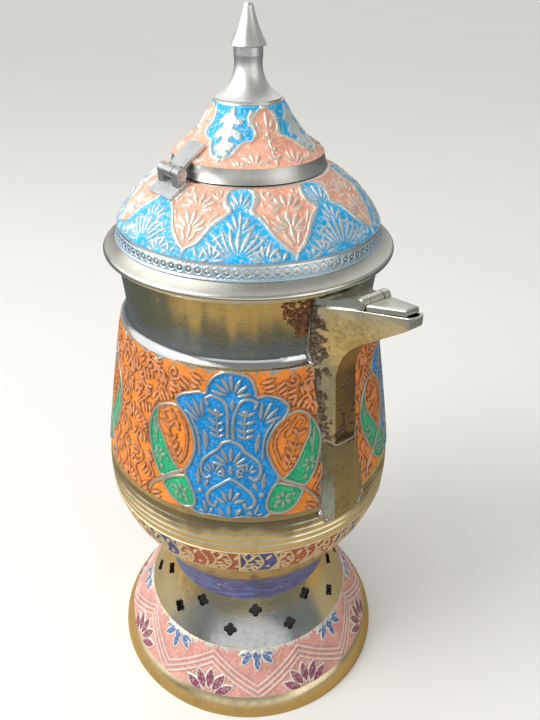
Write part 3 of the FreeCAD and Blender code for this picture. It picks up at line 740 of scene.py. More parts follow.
def metal(name, tint, roughness, rings=0.0, scratches=0.0, stain=0.4, stain_scale=45.0,
          stain_tint=BROWN_STAIN, fade=None):
    """Metal with lathe rings, scratches and tarnish, each as strong as asked. Made once for each name.

    fade, where given, is the tint of its lower part and the heights where that ends and where tint begins.
    """
    if name in bpy.data.materials:
        return bpy.data.materials[name]
    material, tree, shader = new_material(name)
    shader["Metallic"].default_value = 1.0
    dark = (*stain_tint, 1.0)
    base = faded(tree, tint, *fade) if fade else (*tint, 1.0)
    aged = effect(tree, "tarnish", Colour=base, Stain=dark, Scale=stain_scale, Amount=stain)
    marks = effect(tree, "scratches", Scale=1.0)["Mask"]
    mark_share = sums(tree, "MULTIPLY", marks, 0.35 * scratches)
    wire(tree, tinted(tree, mark_share, aged["Colour"], dark), shader["Base Color"])
    rough = sums(tree, "ADD", sums(tree, "MULTIPLY", aged["Mask"], 0.35),
                 cloudy(tree, 60.0, roughness * 0.75, roughness * 1.25))
    wire(tree, rough, shader["Roughness"])
    lines = sums(tree, "MULTIPLY", effect(tree, "turning rings", Scale=RING_SCALE)["Height"], rings)
    height = sums(tree, "SUBTRACT", lines, sums(tree, "MULTIPLY", marks, scratches))
    wire(tree, bump(tree, height, SCRATCH_DEPTH), shader["Normal"])
    return material


METAL_SHARE = 0.7
GRAIN_DEPTH = 0.00012


def enamel(name, metal_tint, gloss, chips, stipple, chalk):
    """Paint read from the piece's own colours, with raised bare metal, chips, stippling and chalky wear."""
    if name in bpy.data.materials:
        return bpy.data.materials[name]
    material, tree, shader = new_material(name)
    paint = put(tree, "ShaderNodeAttribute", {"attribute_name": "paint"}).outputs["Color"]
    bare = put(tree, "ShaderNodeAttribute", {"attribute_name": "bare"}).outputs["Fac"]
    worn = effect(tree, "paint chips", Bare=bare, Scale=420.0, Amount=chips)
    clouds = cloudy(tree, 120.0, 0.8, 1.1, 5.0)
    shade = put(tree, "ShaderNodeCombineColor", Red=clouds, Green=clouds, Blue=clouds).outputs[0]
    shaded = tinted(tree, 1.0, paint, shade, "MULTIPLY")
    rubbed = ranged(tree, noise(tree, 900.0, 8.0), 0.5, 0.62, 0.0, chalk)
    chalky = tinted(tree, rubbed, shaded, (*colours().pale, 1.0))
    # Grime on the raised metal
    dirt_and_highlight = (*colours().dirt_and_highlight, 1.0)
    aged = effect(tree, "tarnish", Colour=(*metal_tint, 1.0), Stain=dirt_and_highlight, Scale=160.0, Amount=0.5)
    wire(tree, tinted(tree, worn["Bare"], chalky, aged["Colour"]), shader["Base Color"])
    wire(tree, sums(tree, "MULTIPLY", worn["Bare"], METAL_SHARE), shader["Metallic"])
    wire(tree, ranged(tree, worn["Grain"], 0.3, 0.75, gloss * 0.8, gloss * 1.3), shader["Roughness"])
    grains = put(tree, "ShaderNodeTexVoronoi", Scale=1100.0, Vector=own_place(tree)).outputs["Distance"]
    ground = sums(tree, "MULTIPLY", grains, stipple)
    height = sums(tree, "ADD", ground, sums(tree, "MULTIPLY", worn["Grain"], 0.5))
    wire(tree, bump(tree, height, GRAIN_DEPTH), shader["Normal"])
    shader["Specular IOR Level"].default_value = 0.2
    return material


# Heights between which a metal fades, in millimetres over the edge that it is tied to: painted shade on the
# belly under the wall, and pale painted reflections in the neck's cove and on the lower foot
BELLY_FADE = (-9.0, -3.0)
NECK_FADE = (6.0, 14.0)
SHELL_FADE = (-11.0, -3.0)


def belly_brass():
    """Turned brass of the belly, darkened under the wall with painted shade."""
    return metal("belly_brass", colours().under_wall_shade, 0.2, rings=1.2, scratches=0.3, stain=0.5, stain_scale=30.0,
                 stain_tint=OLIVE_STAIN, fade=fade_at("body_wall", False, colours().belly, BELLY_FADE))


def brass():
    """Polished brass of the neck, with a pale painted reflection in the cove over the wall."""
    return metal("neck_brass", colours().brass, 0.08, rings=0.3, scratches=0.3, stain=0.3, stain_scale=24.0,
                 fade=fade_at("body_wall", True, colours().shell, NECK_FADE))


def gold():
    return metal("turned_brass", colours().gold, 0.2, rings=1.2, scratches=0.3, stain=0.45, stain_scale=34.0,
                 stain_tint=OLIVE_STAIN)


def shell_brass():
    """Brass of the pierced foot, golden under the collar, with a pale painted reflection towards the paint.
    """
    return metal("shell_brass", colours().gold, 0.12, rings=0.3, scratches=0.3, stain=0.6, stain_scale=30.0,
                 fade=fade_at("foot_pedestal", True, colours().shell, SHELL_FADE))


def pale():
    return metal("silvered_brass", colours().pale, 0.24, rings=0.9, scratches=0.4, stain=0.3,
                 stain_tint=GREY_STAIN)


def grey():
    return metal("grey_brass", colours().grey, 0.36, scratches=1.0, stain=0.8, stain_scale=130.0,
                 stain_tint=DARK_STAIN)


def band_brass():
    return metal("band_brass", colours().band, 0.36, rings=0.9, stain=0.3)


def satin_brass():
    return metal("satin_brass", colours().silver, 0.4, rings=0.6, scratches=0.5, stain=0.2)


def solder_metal():
    return metal("solder", colours().bead, 0.3, scratches=0.6, stain=0.6, stain_scale=260.0,
                 stain_tint=DARK_STAIN)


def wall_enamel():
    return enamel("wall_enamel", colours().line, gloss=0.3, chips=0.25, stipple=0.3, chalk=0.1)


def border_enamel():
    return enamel("border_enamel", colours().border_line, gloss=0.4, chips=0.5, stipple=0.4, chalk=0.1)


def cover_enamel():
    return enamel("cover_enamel", colours().pale, gloss=0.3, chips=0.6, stipple=0.9, chalk=0.35)


def stamped_metal():
    return enamel("stamped_metal", colours().stamped, gloss=0.34, chips=0.3, stipple=0.5, chalk=0.1)


def foot_paint():
    return enamel("foot_paint", colours().pale, gloss=0.42, chips=0.5, stipple=1.3, chalk=0.25)


def crust_deposit():
    return enamel("crust", colours().gold, gloss=0.6, chips=0.1, stipple=0.8, chalk=0.03)


def lilac_paint():
    """Brushed lilac paint, thin enough to let brass through in places."""
    tone = colours()
    material, tree, shader = new_material("brushed_lilac")
    worn = effect(tree, "paint chips", Scale=260.0, Amount=0.75)
    streaks = ranged(tree, noise(tree, 1.0, 6.0, (150.0, 150.0, 900.0)), 0.4, 0.6)
    paint = tinted(tree, streaks, (*tone.lilac, 1.0), (*[2.2 * part for part in tone.lilac], 1.0))
    wire(tree, tinted(tree, worn["Bare"], paint, (*tone.brass, 1.0)), shader["Base Color"])
    wire(tree, worn["Bare"], shader["Metallic"])
    wire(tree, ranged(tree, worn["Grain"], 0.3, 0.7, 0.3, 0.55), shader["Roughness"])
    wire(tree, bump(tree, sums(tree, "ADD", streaks, worn["Grain"]), 0.0001), shader["Normal"])
    return material


# Foot

FOOT_REPEATS = 8
PAINT_TOP_SHARE = 0.48
PAINT_EDGE_WAVES = ((0.9, 0.8, 0.4), (0.6, 2.1, 0.0), (0.3, 4.7, 0.7))
ZIGZAG_LOW = 2.5
ZIGZAG_HIGH = 17.6
ZIGZAG_LEAN = 0.82
RIDGE_STEP = 2.3
RIDGE_HALF = 0.6
RIDGE_CREST = 0.35
RIDGE_BAND = 3.2


def foot_ornament(x, y, repeat):
    """Pink ground, zigzag of three ridges, hanging blue flowers and purple lotus.

    x is the arc from the hanging flower, y the way up the slope, repeat the arc of half a repeat.
    """
    tone = colours()
    top = y.max()
    coat = Coat(x.shape, tone.pink)
    beside = repeat - np.abs(x)
    zigzag = (y - mixed(ZIGZAG_LOW, ZIGZAG_HIGH, np.abs(x) / repeat)) * ZIGZAG_LEAN
    ridge = np.abs((zigzag + 1.5 * RIDGE_STEP) % RIDGE_STEP - RIDGE_STEP / 2)
    band = np.abs(zigzag) - RIDGE_BAND
    coat.raise_lines(within(ridge - RIDGE_HALF, band), 0.9, bare=0.0, dirt_and_highlight=0.25)
    # Pale paint along the ridges' crests: a painted highlight
    crest = inside(within(ridge - RIDGE_CREST, band), 0.9)
    coat.paint = mixed(coat.paint, np.array(tone.pale), crest[..., None] * 0.7)
    flower = nearest(
        fan(x, y, (0.0, top + 0.4), -90, 44, 3, 11.4, 2.0, 1.0),
        fan(x, y, (0.0, top - 0.4), -90, 72, 2, 9.6, 1.5, 1.0),
        disc(x, y, (0.0, top - 3.0), 2.7),
    )
    lotus = fan(beside, y, (0.0, -1.8), 90, 60, 5, 14.0, 2.6, 1.0)
    for edge, paint in ((flower, tone.petal), (lotus, tone.purple)):
        coat.fill(edge - 0.5, tone.pink)
        coat.fill(edge, tone.pale)
        coat.fill(edge + 0.6, paint)
        coat.raise_lines(edge, 0.9, bare=0.0, dirt_and_highlight=0.3)
        coat.bare = np.maximum(coat.bare, inside(np.abs(edge + 0.2) - 0.35) * 0.5)
    over_edge = y - top + 2.2 + ripple(x, PAINT_EDGE_WAVES)
    coat.bare = np.maximum(coat.bare, np.clip(over_edge / 1.6, 0, 1) ** 2)
    coat.relief *= np.clip(np.minimum(y, top - y) / 0.8, 0.25, 1)
    return coat


def build_foot():
    """Painted coat on the lower half of the foot's shell, and the finish of the turned metal."""
    profile = node_profile("foot_pedestal", -sizes().foot_hollow, 0.0, PAINT_TOP_SHARE)
    radius = profile[0][:, None]
    way = arc_length(*profile)[:, None]
    for quarter in range(QUARTERS):
        azimuth = part_turn(quarter * QUARTER, (quarter + 1) * QUARTER, radius.max())
        x = radius * repeat_offset(azimuth, sizes().foot_turn, FOOT_REPEATS)
        coat = foot_ornament(x, np.broadcast_to(way, x.shape), radius * (math.pi / FOOT_REPEATS))
        name = f"foot_paint_{quarter + 1}"
        turned_coat(name, profile, azimuth, coat, "pot", foot_paint())
    finish_nodes(gold(), "foot_rim")
    finish_nodes(shell_brass(), "foot_pedestal")


# Bowl, its border, belly and the lilac ring

BORDER_REPEATS = 9
BORDER_LOW_SHARE = 0.6
BORDER_TOP_SHARE = 0.985
BORDER_BLUE_SHARE = 0.39
FROND_STEP = 6.5
FROND_LEAN = 55


def border_ornament(x, y, repeat):
    """Band of brick and navy fields, each filled with rows of fronds that lean left and right by turns."""
    tone = colours()
    top = y.max()
    coat = Coat(x.shape, tone.brick)
    field = np.abs(x) - repeat * BORDER_BLUE_SHARE
    coat.fill(field, tone.navy)
    fronds = []
    for index in range(-3, 4):
        place = index * FROND_STEP
        stem = [(place - 1.6, 0.06 * top), (place + 1.4, 0.5 * top), (place - 0.8, 0.94 * top)]
        fronds.append(frond(x, y, stem, -FROND_LEAN if index % 2 else FROND_LEAN, 5, 4.0, 0.7))
        fronds.append(disc(x, y, (place + 3.6, 0.3 * top), 0.9))
        fronds.append(leaf(x, y, (place + 2.4, 0.66 * top), (place + 4.6, 0.9 * top), 0.8))
    coat.raise_lines(np.minimum.reduce(fronds), 0.9)
    coat.raise_lines(np.abs(field) - 0.45, 0.8)
    coat.raise_lines(np.minimum(y, top - y) - 0.5)
    coat.relief *= np.clip(np.minimum(y, top - y) / 0.5, 0.2, 1)
    return coat


def build_bowl():
    """Enamelled border round the bowl, and the finish of the bowl, the belly and the lilac ring."""
    profile = node_profile("bowl_base", sizes().bowl_bulge, BORDER_LOW_SHARE, BORDER_TOP_SHARE)
    radius = profile[0][:, None]
    azimuth = whole_turn(radius.max())
    x = radius * repeat_offset(azimuth, sizes().border_turn, BORDER_REPEATS)
    y = np.broadcast_to(arc_length(*profile)[:, None], x.shape)
    coat = border_ornament(x, y, radius * (math.pi / BORDER_REPEATS))
    turned_coat("bowl_border", profile, azimuth, coat, "pot", border_enamel())
    finish_nodes(gold(), "bowl_base")
    finish_nodes(belly_brass(), "belly_ring")
    finish_nodes(lilac_paint(), "foot_collar")


# Wall

# Outlines of the right half of a wall quarter: arc from the medallion's middle, height over the wall's foot
MEDALLION = [
    (-9.0, 2.4), (4.0, 2.4), (14.5, 2.6), (17.0, 10.0), (18.2, 18.8), (17.6, 30.0), (18.2, 41.5),
    (21.4, 47.3), (20.2, 49.9), (16.6, 52.3), (12.6, 53.2), (9.6, 53.0), (9.0, 56.2), (6.8, 59.8),
    (3.2, 61.7), (-3.0, 62.1), (-9.0, 59.0), (-12.0, 30.0),
]
PAISLEY = [
    (25.0, 45.7), (30.0, 42.7), (33.7, 36.5), (34.9, 30.0), (33.9, 23.2), (31.8, 17.7),
    (28.9, 14.0), (24.8, 15.6), (20.0, 19.0), (16.3, 23.5), (14.0, 29.5), (14.2, 35.5),
    (16.9, 41.5), (20.9, 45.0),
]
LEAF_SIDE = [
    (30.6, 42.6), (30.2, 36.0), (27.5, 29.0), (24.0, 22.5), (20.2, 16.6), (28.0, 8.0), (42.0, 14.0),
    (42.0, 38.0),
]
DROP = [
    (18.2, 17.4), (15.4, 13.5), (13.9, 9.0), (15.0, 5.0), (19.0, 3.3), (24.6, 6.0), (28.2, 10.8),
    (27.4, 12.8), (24.0, 14.8),
]
TAIL = [(20.0, 19.0), (24.8, 15.7), (29.5, 12.0), (33.5, 8.6), (35.5, 5.0)]
RIM_HALF = 0.5
FIELD_BARE = 0.1
# Share of salmon in the painted highlight on the crests of the field's lines
FIELD_CREST_HIGHLIGHT = 0.2
DARKENING_SPREAD = 0.42
WALL_LOW_SHARE = 0.035
WALL_TOP_SHARE = 0.996
WALL_SWAY = 0.22
WALL_EDGE_WAVES = ((0.7, 0.9, 0.3), (0.6, 2.3, 0.0), (0.4, 5.1, 0.7))


def medallion_lines(x, y):
    """Raised scrolls and palmettes of the medallion's right half."""
    fountain = flowing([(1.1, 36.6), (1.2, 45.5), (3.2, 51.0), (6.8, 52.5), (9.4, 50.8), (8.6, 48.8)])
    stem = [(5.0, 36.0), (5.2, 40.5), (5.2, 45.8)]
    side_line = flowing([(15.6, 43.0), (12.8, 37.0), (11.9, 28.0)])
    upper_arch = flowing([(0.0, 35.4), (3.0, 34.0), (5.0, 31.0), (8.2, 28.5), (11.0, 25.4), (11.4, 21.4),
                          (9.8, 18.8), (7.8, 20.0)])
    lower_arch = flowing([(0.0, 19.0), (3.2, 17.3), (6.8, 14.6), (8.9, 11.0), (8.3, 7.6), (6.2, 6.6),
                          (5.4, 8.4)])
    return nearest(
        stroke(x, y, fountain, 0.65),
        stroke(x, y, side_line, 0.5),
        stroke(x, y, upper_arch, 0.65),
        stroke(x, y, lower_arch, 0.7),
        fan(x, y, (0.0, 52.6), 90, 74, 7, 8.4, 0.75, 0.95),
        leaf(x, y, (0.0, 47.6), (0.0, 52.0), 0.9),
        fan(x, y, (9.8, 41.4), 52, 30, 4, 11.4, 0.75, 0.85),
        disc(x, y, (5.2, 46.7), 1.2),
        frond(x, y, stem, -58, 4, 4.2, 0.7),
        frond(x, y, stem, 58, 4, 3.2, 0.6),
        leaf(x, y, (9.2, 30.2), (10.6, 39.4), 1.0),
        fan(x, y, (0.0, 24.6), 90, 78, 7, 8.6, 0.75, 0.8),
        leaf(x, y, (0.0, 20.4), (0.0, 25.2), 0.9),
        fan(x, y, (6.4, 21.4), 110, 88, 6, 5.2, 0.6, 0.85),
        leaf(x, y, (2.4, 20.0), (3.4, 24.4), 0.7),
        fan(x, y, (0.0, 8.0), 90, 66, 5, 7.2, 0.8, 0.9),
        leaf(x, y, (0.0, 3.4), (0.0, 8.2), 0.8),
        leaf(x, y, (2.2, 3.0), (4.6, 6.4), 0.8),
        fan(x, y, (9.2, 2.0), 78, 46, 3, 6.6, 0.75),
        disc(x, y, (11.6, 12.4), 1.0),
        leaf(x, y, (12.2, 14.6), (13.0, 22.0), 0.9),
        leaf(x, y, (10.2, 14.4), (8.6, 18.2), 0.7),
    )


def paisley_lines(x, y):
    """Raised leaves inside the orange part of the paisley."""
    stem = [(21.2, 23.0), (23.4, 29.0), (25.6, 37.0)]
    return nearest(
        stroke(x, y, flowing([(21.0, 42.6), (17.8, 38.6), (16.6, 33.0), (18.0, 26.6), (20.8, 22.4)]), 0.45),
        stroke(x, y, flowing([(22.6, 40.6), (24.8, 43.2), (27.4, 41.6), (26.4, 39.2)]), 0.6),
        frond(x, y, stem, -52, 4, 3.6, 0.7),
        frond(x, y, stem, 52, 5, 4.4, 0.75),
        leaf(x, y, (20.2, 36.0), (22.6, 40.0), 0.9),
    )


def green_lines(x, y):
    """Raised flowers of the green leaf and the green drop."""
    return nearest(
        fan(x, y, (30.6, 22.8), 90, 150, 6, 3.6, 0.8, 1.0),
        stroke(x, y, [(31.8, 28.0), (32.0, 37.0)], 0.5),
        leaf(x, y, (32.0, 30.4), (30.2, 34.4), 0.7),
        disc(x, y, (28.8, 17.6), 1.0),
        fan(x, y, (20.4, 9.6), 60, 150, 6, 3.8, 0.8, 1.0),
        disc(x, y, (17.6, 6.6), 0.9),
        disc(x, y, (24.6, 11.0), 0.8),
    )


# Orange ground: foot, heading and count of each row of leaves; middle, reach, start and turns of each curl
FIELD_HATCHES = (
    ((0.6, 12.0), 60, 2), ((8.4, 4.0), 42, 3), ((14.6, 3.4), 30, 4), ((7.6, 10.6), 66, 3),
    ((10.8, 17.0), 80, 3), ((1.0, 24.4), 64, 2), ((7.4, 23.6), 108, 3), ((11.6, 27.6), 96, 3),
    ((7.0, 37.4), 110, 3), ((11.6, 37.2), 84, 3), ((0.8, 42.6), 66, 2), ((10.4, 44.6), 64, 3),
    ((6.6, 51.0), 110, 3), ((12.6, 52.6), 80, 3), ((0.8, 58.6), 40, 2),
)
FIELD_CURLS = (((2.9, 18.6), 2.4, 80, -1.1), ((8.6, 31.6), 2.5, -80, 1.1), ((2.9, 46.8), 2.5, 80, -1.2),
               ((8.8, 57.6), 2.8, -60, 1.2), ((8.2, 46.6), 2.2, 60, 1.1))
FIELD_FANS = (3.2, 31.2, 50.4)
VINE_STEP = 14.0
TOP_HATCHES = (((10.8, 58.0), 24, 3), ((15.4, 55.4), 34, 3), ((22.4, 47.4), 66, 3), ((20.0, 53.0), 14, 2),
               ((28.0, 60.4), 6, 2), ((26.2, 46.8), 54, 2))
TOP_CURLS = (((22.4, 58.2), 2.8, 200, 1.2), ((28.6, 55.0), 3.0, 20, 1.2), ((28.2, 49.6), 2.4, 190, -1.1))


def field_lines(x, y, edge):
    """Raised work of the orange ground: palmettes up the mirror line, waving vines, scrolls and leaves.

    edge is the arc from the mirror line between two medallions; the rest lies over the paisleys' heads.
    """
    wave = np.sin(2 * math.pi * y / VINE_STEP)
    parts = [np.abs(edge - 5.6 - 2.2 * wave) * 0.72 - 0.42, np.abs(edge - 13.2 + 1.6 * wave) * 0.8 - 0.4]
    for foot in FIELD_FANS:
        parts.append(fan(edge, y, (0.0, foot), 90, 84, 7, 7.0, 0.75, 0.75))
    for places, hatches, curls in ((edge, FIELD_HATCHES, FIELD_CURLS), (x, TOP_HATCHES, TOP_CURLS)):
        for foot, heading, count in hatches:
            parts.append(hatch(places, y, foot, heading, count, 5.0, 0.7))
        for middle, reach, start, turns in curls:
            parts.append(stroke(places, y, curl(middle, reach, start, turns), 0.45))
    return np.minimum.reduce(parts)


def wall_ornament(x, y, edge):
    """Enamel of half a quarter of the wall, mirrored at the medallion's middle and at the quarter's edge.

    x is the arc from the medallion's middle, y the height over the wall's foot.
    """
    tone = colours()
    foot = y.min()
    top = y.max()
    coat = Coat(x.shape, tone.orange)
    shield = shape(x, y, MEDALLION)
    egg = shape(x, y, PAISLEY)
    drop = shape(x, y, DROP)
    leaf_side = shape(x, y, LEAF_SIDE)
    tail = stroke(x, y, flowing(TAIL), RIM_HALF)
    covered = nearest(egg, drop)
    ground = np.maximum(1.4 - nearest(shield, covered), 1.0 - tail)
    patchy = 0.75 + 0.25 * np.sin(0.9 * x + 1.3 * y) * np.sin(1.1 * y - 0.7 * x + 2.0)
    lines = within(ground, field_lines(x, y, edge))
    coat.raise_lines(lines, 0.95, FIELD_BARE, patchy, DARKENING_SPREAD)
    # Paler paint on the crests of the field's lines: a painted highlight
    coat.fill(lines + 0.2, mixed(np.array(tone.orange), np.array(tone.salmon), FIELD_CREST_HIGHLIGHT))
    coat.fill(shield, tone.blue)
    inner = np.maximum(shield + 1.2, 1.2 - covered)
    coat.raise_lines(within(inner, medallion_lines(x, y) + 0.12), bare=0.85, dirt_and_highlight=0.4)
    coat.fill(egg, tone.orange)
    lines = within(np.maximum(egg + 1.2, 1.0 - leaf_side), paisley_lines(x, y))
    coat.raise_lines(lines, 0.9, FIELD_BARE, patchy, DARKENING_SPREAD)
    green = nearest(within(egg, leaf_side), drop)
    coat.fill(green, tone.green)
    coat.raise_lines(within(green + 0.9, green_lines(x, y)), 0.7, 0.6)
    coat.raise_lines(nearest(
        within(np.abs(shield) - RIM_HALF, 0.2 - covered),
        np.abs(egg) - RIM_HALF,
        within(np.abs(drop) - RIM_HALF, -egg),
        within(np.abs(leaf_side) - 0.4, egg),
        tail,
    ), bare=0.85)
    # Darker along the wall's foot
    coat.paint = mixed(coat.paint, np.array(tone.dark_beside_lines), np.exp(-((y - foot) / 0.6) ** 2)[..., None])
    over_edge = y - top + 1.2 + ripple(x, WALL_EDGE_WAVES)
    coat.bare = np.maximum(coat.bare, np.clip(over_edge / 0.7, 0.0, 1.0))
    coat.relief *= np.clip(np.minimum(y - foot, top - y) / 0.7, 0.3, 1)
    return coat


def build_wall():
    """Four enamelled quarters round the wall, each with a medallion in its middle."""
    profile = node_profile("body_wall", sizes().wall_bulge, WALL_LOW_SHARE, WALL_TOP_SHARE)
    radius = profile[0][:, None]
    spread = part_turn(-QUARTER / 2, QUARTER / 2, radius.max())
    height = (profile[1] - outer_rim("body_wall", False)[1])[:, None]
    for quarter in range(QUARTERS):
        azimuth = spread + sizes().medallion_turn + quarter * QUARTER
        along, up = unsteady(azimuth, height, WALL_SWAY)
        x = np.abs(radius * spread + along)
        edge = np.abs(radius * (QUARTER / 2) - x)
        coat = wall_ornament(x, height + up, edge)
        name = f"wall_enamel_{quarter + 1}"
        turned_coat(name, profile, azimuth, coat, "pot", wall_enamel())
    finish_nodes(gold(), "body_wall")
    finish_nodes(brass(), "neck")
    finish_nodes(pale(), "mouth_ring")


# Spout and handle

def body_radius(height):
    """Outer radius of the belly, wall and neck at heights in millimetres: straight between their joints."""
    mouth = outer_rim("neck", True)
    shoulder = outer_rim("body_wall", True)
    cove = mouth[0] - sizes().neck_flare / MM, shoulder[1] + sizes().neck_cove / MM
    joints = [outer_rim("belly_ring", False), outer_rim("belly_ring", True), shoulder, cove, mouth]
    radii, heights = zip(*joints)
    return np.interp(height, heights, radii)


RAIL_RISE = 0.2
RAIL_DEPTH = 0.6
FRONT_HALF = 5.0
# Spans over which the spout's stains, wear, tints and painted highlight come or go, in metres from the place
# that each is tied to
ROOT_STAIN_OUT = (0.0025, 0.0036)
ROOT_STAIN_RISE = (0.0, 0.004)
BURNT_SPAN = (0.0008, 0.002)
FRONT_EDGE = (FRONT_HALF * MM, FRONT_HALF * MM + 0.0002)
NEAR_HIGHLIGHT_SIDE = (-0.004, -0.002)
NEAR_HIGHLIGHT_RISE = (-0.026, -0.012)
RAIL_WEAR = (-0.0045, -0.0025)
NOSE_WEAR = (-0.017, -0.010)


def root_stain(tree, parts, above):
    """Share of the stain over the heel's seam where the spout meets the wall, with a ragged edge.

    parts are the coordinates, and above is the height over the seam.
    """
    low = outer_rim("body_wall", False) * MM
    high = outer_rim("body_wall", True) * MM
    squares = sums(tree, "ADD", sums(tree, "POWER", parts["X"], 2.0), sums(tree, "POWER", parts["Y"], 2.0))
    wall = ranged(tree, parts["Z"], low[1], high[1], low[0], high[0])
    out = sums(tree, "SUBTRACT", sums(tree, "SQRT", squares), wall)
    ragged = sums(tree, "ADD", out, cloudy(tree, 330.0, -0.0035, 0.0035, 8.0))
    near = ranged(tree, ragged, *ROOT_STAIN_OUT, 0.9, 0.0)
    return sums(tree, "MULTIPLY", near, ranged(tree, above, *ROOT_STAIN_RISE))


def spout_tint(tree, parts, above, tint, side_tint, near_highlight_tint):
    """Tint of the front, of the sides and, where given, of the pale painted highlight low on the near side.
    """
    outward = put(tree, "ShaderNodeNewGeometry").outputs["Normal"]
    aside = sums(tree, "ABSOLUTE", axes(tree, outward)["Y"])
    beyond = ranged(tree, sums(tree, "ABSOLUTE", parts["Y"]), *FRONT_EDGE)
    sides = sums(tree, "MAXIMUM", beyond, ranged(tree, aside, 0.3, 0.5))
    side = (*side_tint, 1.0)
    if near_highlight_tint:
        # Pale painted highlight low on the near side
        near = ranged(tree, parts["Y"], *NEAR_HIGHLIGHT_SIDE, 1.0, 0.0)
        low_down = ranged(tree, above, *NEAR_HIGHLIGHT_RISE, 1.0, 0.0)
        side = tinted(tree, sums(tree, "MULTIPLY", near, low_down), side, (*near_highlight_tint, 1.0))
    return tinted(tree, sides, (*tint, 1.0), side)


def rubbed_share(tree, parts):
    """Share of the pale wear under the sloping rail and behind the nose."""
    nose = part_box("spout_lip")[1]
    behind = sums(tree, "SUBTRACT", parts["X"], nose[0])
    under = sums(tree, "SUBTRACT", parts["Z"], nose[2])
    under_rail = sums(tree, "SUBTRACT", under, sums(tree, "MULTIPLY", behind, RAIL_RISE))
    patchy = cloudy(tree, 110.0, -0.002, 0.002)
    at_rail = ranged(tree, sums(tree, "ADD", under_rail, patchy), *RAIL_WEAR, 0.0, 0.85)
    at_nose = ranged(tree, sums(tree, "ADD", behind, patchy), *NOSE_WEAR, 0.0, 0.7)
    return sums(tree, "MAXIMUM", at_rail, at_nose)


def spout_brass(name, tint, side_tint, near_highlight_tint=None):
    """Scratched brass of one tint in front and one at its sides, and a pale painted highlight low on its near
    side where given. On the strip the darker front is browning and painted shade.

    It is rubbed pale along the rail and at the nose, and stained grey where it was soldered to the body.
    """
    tone = colours()
    soot = (*tone.soot, 1.0)
    material, tree, shader = new_material(name)
    parts = axes(tree, own_place(tree))
    above = sums(tree, "SUBTRACT", parts["Z"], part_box("spout_heel")[1][2])
    wavy = sums(tree, "ADD", above, cloudy(tree, 240.0, -0.003, 0.003, 5.0))
    root = root_stain(tree, parts, above)
    burnt = ranged(tree, sums(tree, "ABSOLUTE", wavy), *BURNT_SPAN, 0.7, 0.0)
    base = spout_tint(tree, parts, wavy, tint, side_tint, near_highlight_tint)
    aged = effect(tree, "tarnish", Colour=base, Stain=soot, Scale=60.0, Amount=0.7)
    rubbed = tinted(tree, rubbed_share(tree, parts), aged["Colour"], (*tone.pale, 1.0))
    marks = effect(tree, "scratches", Scale=1.3)["Mask"]
    scratched = tinted(tree, sums(tree, "MULTIPLY", marks, 0.4), rubbed, soot)
    sooty = tinted(tree, burnt, scratched, soot)
    speckle = ranged(tree, noise(tree, 900.0, 6.0), 0.45, 0.6)
    stain = tinted(tree, speckle, soot, (*tone.solder, 1.0))
    wire(tree, tinted(tree, root, sooty, stain), shader["Base Color"])
    shader["Metallic"].default_value = 1.0
    stained = sums(tree, "MAXIMUM", root, burnt)
    wire(tree, ranged(tree, stained, 0.0, 1.0, 0.34, 0.55), shader["Roughness"])
    crust = sums(tree, "MULTIPLY", stained, noise(tree, 900.0, 4.0))
    height = sums(tree, "SUBTRACT", crust, sums(tree, "MULTIPLY", marks, 0.1))
    wire(tree, bump(tree, height, 0.0003, 0.6), shader["Normal"])
    return material


BEAD_SIDES = 12
BEAD_SHARP = 80.0
# A direction that no seam runs along
ASKEW = (0.31, 0.17, 0.93)


def bead(name, path, radius, material):
    """Closed bead of solder along a path: rings square to the path, each with its own radius."""
    run = np.gradient(path, axis=0)
    run /= np.linalg.norm(run, axis=1)[:, None]
    side = np.cross(run, ASKEW)
    side /= np.linalg.norm(side, axis=1)[:, None]
    over = np.cross(run, side)
    turn = np.linspace(0.0, 2 * math.pi, BEAD_SIDES, endpoint=False)[None, :, None]
    ring = side[:, None] * np.cos(turn) + over[:, None] * np.sin(turn)
    points = path[:, None] + ring * radius[:, None, None]
    rows = path.shape[0]
    faces = grid_faces(rows, BEAD_SIDES, False, True)[:, ::-1].tolist()
    faces.append(list(range(BEAD_SIDES)))
    faces.append(list(range(rows * BEAD_SIDES - 1, (rows - 1) * BEAD_SIDES - 1, -1)))
    new_piece(name, points.reshape(-1, 3), faces, "pot", material, BEAD_SHARP)


def uneven(count, least, most, seed):
    """Smooth uneven run of values between least and most, faded to almost nothing at both ends."""
    chance = np.random.default_rng(seed)
    knots = chance.uniform(least, most, count // 4)
    values = np.interp(np.linspace(0, 1, count), np.linspace(0, 1, knots.size), knots)
    share = np.linspace(0, 1, count)
    return values * np.clip(12 * np.minimum(share, 1 - share), 0.05, 1)


SEAM_INSET = 2.6
SEAM_DROP = 0.6
SEAM_ROOT_RISE = 2.6


def front_seam(height, front, root_half, root_rise):
    """Path of a seam from one root of the spout round its front to the other, higher at the roots."""
    reach = math.sqrt(body_radius(height) ** 2 - root_half ** 2)
    near = [(reach, -root_half, height + root_rise), (front - 1.0, -FRONT_HALF - 0.6, height + 0.3),
            (front, 0.6 - FRONT_HALF, height)]
    far = [(x, -y, z) for x, y, z in near[::-1]]
    return flowing(near + far, steps=10)


HEEL_CORNER = 6.0
HEEL_EDGE = 0.9
HEEL_SUNK = 1.5
HEEL_ROWS = 60
HEEL_FLANK_COLUMNS = 8
HEEL_FRONT_COLUMNS = 9
HEEL_SHARP = 20.0


def heel_half(height):
    """Half-width of the heel at the body, in millimetres; its lower corners are quarters of a circle."""
    low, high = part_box("spout_heel")
    half = np.interp(height, [low[2] / MM, high[2] / MM], [sizes().root_low / MM, sizes().root_seam / MM])
    share = np.clip((height - low[2] / MM) / HEEL_CORNER, 0.0, 1.0)
    return half - HEEL_CORNER * (1 - np.sqrt(1 - (1 - share) ** 2))


